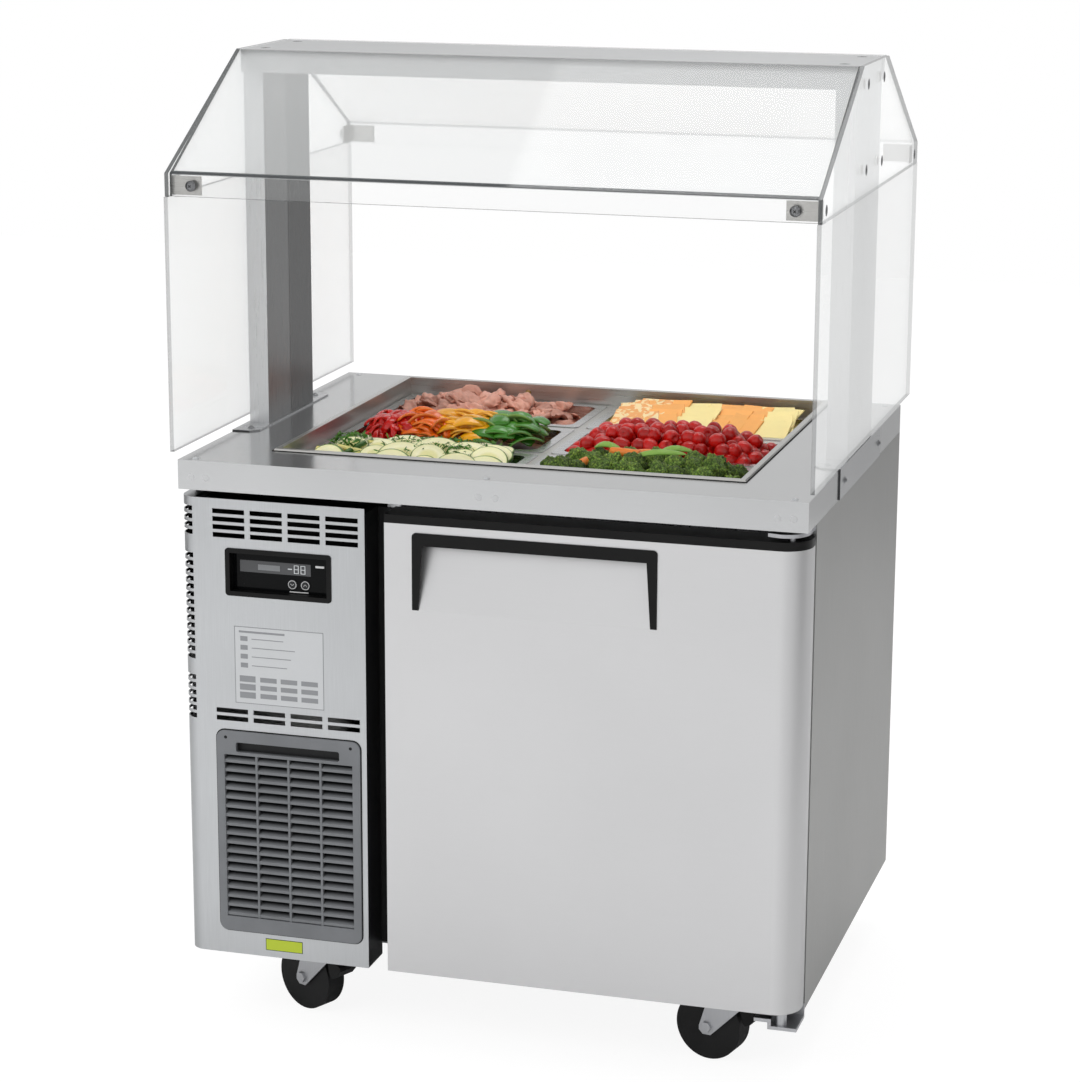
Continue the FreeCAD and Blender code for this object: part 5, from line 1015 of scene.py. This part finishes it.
# Each colour: where it starts and ends across the pan, how many strips, radius, sweep and width
# of a strip, how far it turns from side to side, and the shades of flesh and skin.
PEPPERS = {
    "red": (-1.0, -0.5, 96, (14, 24), (110, 190), (10, 14), 180, "#e0523c", "#cb140d"),
    "orange": (-0.6, 0.0, 60, (24, 36), (80, 120), (14, 19), 60, "#f69f4c", "#f06c12"),
    "yellow": (-0.2, 0.42, 60, (28, 42), (75, 105), (14, 19), 35, "#f9c65c", "#f5ab10"),
    "green": (0.4, 1.0, 44, (30, 42), (70, 95), (18, 24), 30, "#a3c46c", "#3f8222"),
}
pan = "pan_middle_left"
# The bed under the strips is a dark brown: painted shade in the gaps between them.
fill_bed("pepper_bed", pan, food_skin("pepper_gap_shade", [(0.0, "#5e2109"), (1.0, "#6e4a10")], 0.5),
         6, 24)
for colour, (start, end, count, radius, sweep, width, yaw, flesh, skin) in PEPPERS.items():
    material = food_skin(f"{colour}_pepper", [(0.0, flesh), (0.35, flesh), (0.6, skin),
                                              (1.0, skin)], 0.25, 30.0, 0.1 * MM, 0.2, 0.5)
    heap = Heap()
    for index in range(count):
        u = start + (end - start) * ((index * 0.618) % 1)
        v = random.uniform(-1, 1) * (1 - 0.4 * index / count)
        strip = pepper_strip(random.uniform(*radius), random.uniform(*sweep),
                             random.uniform(*width))
        heap.add(strip, on_pan(pan, u, v, mound(u, v, 10) - 8 + 24 * index / count, 24),
                 any_turn(40, 18, yaw))
    heap.build(f"{colour}_pepper_strips", material, pan + "_body")

# %% [markdown]
# ### Courgette slices and sticks
# A slice is a low disc: dark green rind, cream flesh and a wetter, seeded middle. Rings of points
# at the right radii let "across" carry that from the middle to the rind. The slices are cut on
# the slant, so they are oval, and lean back in rows. Sticks are cut long with rind on one side,
# and chopped herbs lie over the middle.

# %% Courgettes
slice_skin = food_skin("courgette_slice", [
    (0.0, "#dcd98f"), (0.45, "#e8e4a4"), (0.62, "#f3efc6"), (0.9, "#efecb9"), (0.95, "#5d8230"),
    (1.0, "#2b4c17")], 0.35, 70.0, 0.3 * MM, 0.1, 0.25)
disc = turned([(0, 3.2), (10, 3.2), (15, 3.2), (21, 3.1), (22.6, 2.8), (23.4, 1.6), (23.6, 0),
               (23.4, -1.6), (22.6, -2.8), (15, -3.2), (0, -3.2)], 32)
stick_skin = food_skin("courgette_stick", [
    (0.0, "#efe7a0"), (0.7, "#e9dc86"), (0.82, "#4f7a28"), (1.0, "#2c4f15")], 0.35, 70.0,
    0.3 * MM, 0.15, 0.25)
rind_green = food_skin("courgette_rind", [(0.0, "#2c4f15"), (1.0, "#44702a")], 0.35, 40.0)
pan = "pan_front_left"
fill_bed("courgette_bed", pan, rind_green, 6)
heap = Heap()
for row, (count, first, lean, lift) in enumerate((
        (6, -0.95, 54, -3), (5, -0.45, 40, 5), (6, -0.8, 28, 10), (7, -0.9, 16, 8))):
    for index in range(count):
        u = first + (1 - first) * (index + random.uniform(-0.15, 0.15)) / (count - 1)
        if row == 0 and index == 1:  # the sticks lie here
            continue
        shape = np.array((random.uniform(1.0, 1.35), 1.0, 1.0)) * random.uniform(0.85, 1.2)
        heap.add(disc, on_pan(pan, max(-1, min(u, 1)), row * 0.62 - 0.94,
                              lift + random.uniform(-1, 3), 27),
                 (lean + random.uniform(-6, 6), random.uniform(-8, 8), random.uniform(-14, 14)),
                 shape)
heap.build("courgette_slices", slice_skin, pan + "_body")
heap = Heap()
for index in range(26):
    length = random.uniform(42, 62)
    stick = swept([(t * length, 0) for t in (-0.5, -0.48, 0, 0.48, 0.5)], 8, 7, 8,
                  lambda t: 0.8 if t in (0, 1) else 1.0, 5)
    heap.add(stick, on_pan(pan, random.uniform(-1, -0.5), random.uniform(-0.9, 1),
                           random.uniform(-6, 10), 26), any_turn(60, 22, 55))
heap.build("courgette_sticks", stick_skin, pan + "_body")

herb_leaf = food_skin("herb_leaf", [(0.0, "#2f5a17"), (1.0, "#4b7f25")], 0.5, 80.0, 0.2 * MM, 0.35)
leaf = swept([(x, 2.2 * math.sin(x / 3)) for x in range(-7, 8)], 3.5, 0.7, 6,
             lambda t: max(0.08, math.sin(math.pi * t)))
heap = Heap()
for index in range(420):
    left_end = index < 140
    u = random.uniform(-1, -0.6) if left_end else random.gauss(0.25, 0.3)
    v = random.uniform(-0.2, 1) if left_end else random.gauss(0.5, 0.35)
    u, v = max(-1, min(u, 1)), max(-0.9, min(v, 1))
    heap.add(leaf, on_pan(pan, u, v, 14 + 6 * v + mound(u, v, 4), 14), any_turn(50, 40),
             random.uniform(0.4, 1.1))
heap.build("herb_leaves", herb_leaf, pan + "_body")

# %% [markdown]
# ### Folded ham
# Ham slices are thin round sheets, folded over and dropped in a heap. A rippled sheet that is
# bent back on itself makes one fold. Its cut edge is a shade darker than its face.

# %% Folded ham
def ham_fold(width, depth, seed):
    """A rippled sheet folded over on itself."""
    columns, rows = 20, 16
    points, across = [], []
    for row in range(rows + 1):
        turn = row / rows
        angle = math.pi * (1.35 * turn - 0.1)
        for column in range(columns + 1):
            u = 2 * column / columns - 1
            ripple = (6 * noise.noise(Vector((u * 1.9, turn * 1.8, seed)))
                      + 3 * noise.noise(Vector((u * 5, turn * 6, seed))))
            radius = (depth * (1 + 0.5 * turn) + ripple) * math.sqrt(1 - 0.6 * u * u)
            points.append((u * width, -math.cos(angle) * radius * 1.6,
                           math.sin(angle) * radius * 0.75 + ripple * 0.8))
            across.append(abs(u) ** 4 * 0.6 + 0.4 * turn ** 3)
    return np.array(points), grid_faces(columns, rows), np.array(across)


ham_meat = food_skin("cooked_ham", [(0.0, "#cd9683"), (0.45, "#bb7f6b"), (0.8, "#9a5b48"),
                                    (1.0, "#7c4030")], 0.55, 30.0, 1.2 * MM, 0.4, 0.05)
pan = "pan_rear_left"
fill_bed("ham_bed", pan, ham_meat, 6)
heap = Heap()
for u, v, lift in scatter(((9, 4, 1.0, -8), (8, 4, 0.85, 4), (4, 2, 0.5, 14)), 0.8):
    heap.add(ham_fold(random.uniform(15, 26), random.uniform(6, 11), random.uniform(0, 50)),
             on_pan(pan, u, v, lift - 5 * u, 30), any_turn(25, 22, 75))
ham = heap.build("ham_folds", ham_meat, pan + "_body")
sheet = ham.modifiers.new("thickness", "SOLIDIFY")
sheet.thickness = 1.6 * MM

# %% [markdown]
# ### Sliced cheese
# Square slices lie in rows and overlap like roof tiles, each leaning on the one before. They are
# thin slabs with softened edges. After one marbled stack, which is two colours mixed by noise,
# the orange and the pale kind take turns.

# %% Sliced cheese
def slab(length, width, thickness):
    """A thin block with bevelled edges."""
    points, across = [], []
    for z, inset in ((-1, 0.7), (-0.4, 0), (0.4, 0), (1, 0.7)):
        for x, y in ((-1, -1), (1, -1), (1, 1), (-1, 1)):
            points.append((x * (length / 2 - inset), y * (width / 2 - inset), z * thickness / 2))
            across.append((z + 1) / 2)
    return np.array(points), ring_faces(4, 4), np.array(across)


orange_cheese = food_skin("orange_cheese", [(0.0, "#ea9a40"), (1.0, "#f3ab57")], 0.45, 30.0,
                          0.05 * MM, 0.08)
pale_cheese = food_skin("pale_cheese", [(0.0, "#ead48a"), (1.0, "#f2df98")], 0.45, 30.0,
                        0.05 * MM, 0.06)
marbled_cheese, tree, shader = start_material("marbled_cheese", {
    "Roughness": 0.45, "Subsurface Weight": 0.1, "Subsurface Scale": 4 * MM})
place = add_node(tree, "TexCoord")
swirl = add_node(tree, "TexNoise", inputs={
    "Vector": place.outputs["Object"], "Scale": 70.0, "Detail": 2.0, "Distortion": 1.2})
split = add_node(tree, "MapRange", inputs={"Value": swirl, "From Min": 0.47, "From Max": 0.53})
shade = add_node(tree, "Mix", {"data_type": "RGBA"},
                 {0: split, 6: linear("#eba257"), 7: linear("#f2d7a0")})
feed(shader, {"Base Color": shade.outputs[2]})

pan = "pan_rear_right"
fill_bed("cheese_bed", pan, pale_cheese, 4)
slice_form = slab(50, 48, 3)
for label, material, stretches in (
        ("marbled", marbled_cheese, ((-1.0, -0.75),)),
        ("orange", orange_cheese, ((-0.7, -0.5), (0.15, 0.6))),
        ("pale", pale_cheese, ((-0.25, -0.05), (0.85, 1.0)))):
    heap = Heap()
    for start, end in stretches:
        for v in (-0.9, -0.3, 0.3, 0.9):
            for index in range(3):
                u = start + (end - start) * index / 2
                heap.add(slice_form, on_pan(pan, u, v, 4 + 4 * v + 2 * index, 32),
                         (20 + random.uniform(-5, 5), random.uniform(-5, 2),
                          random.uniform(-14, 14)))
    heap.build(f"{label}_cheese_slices", material, pan + "_body", smooth=False)
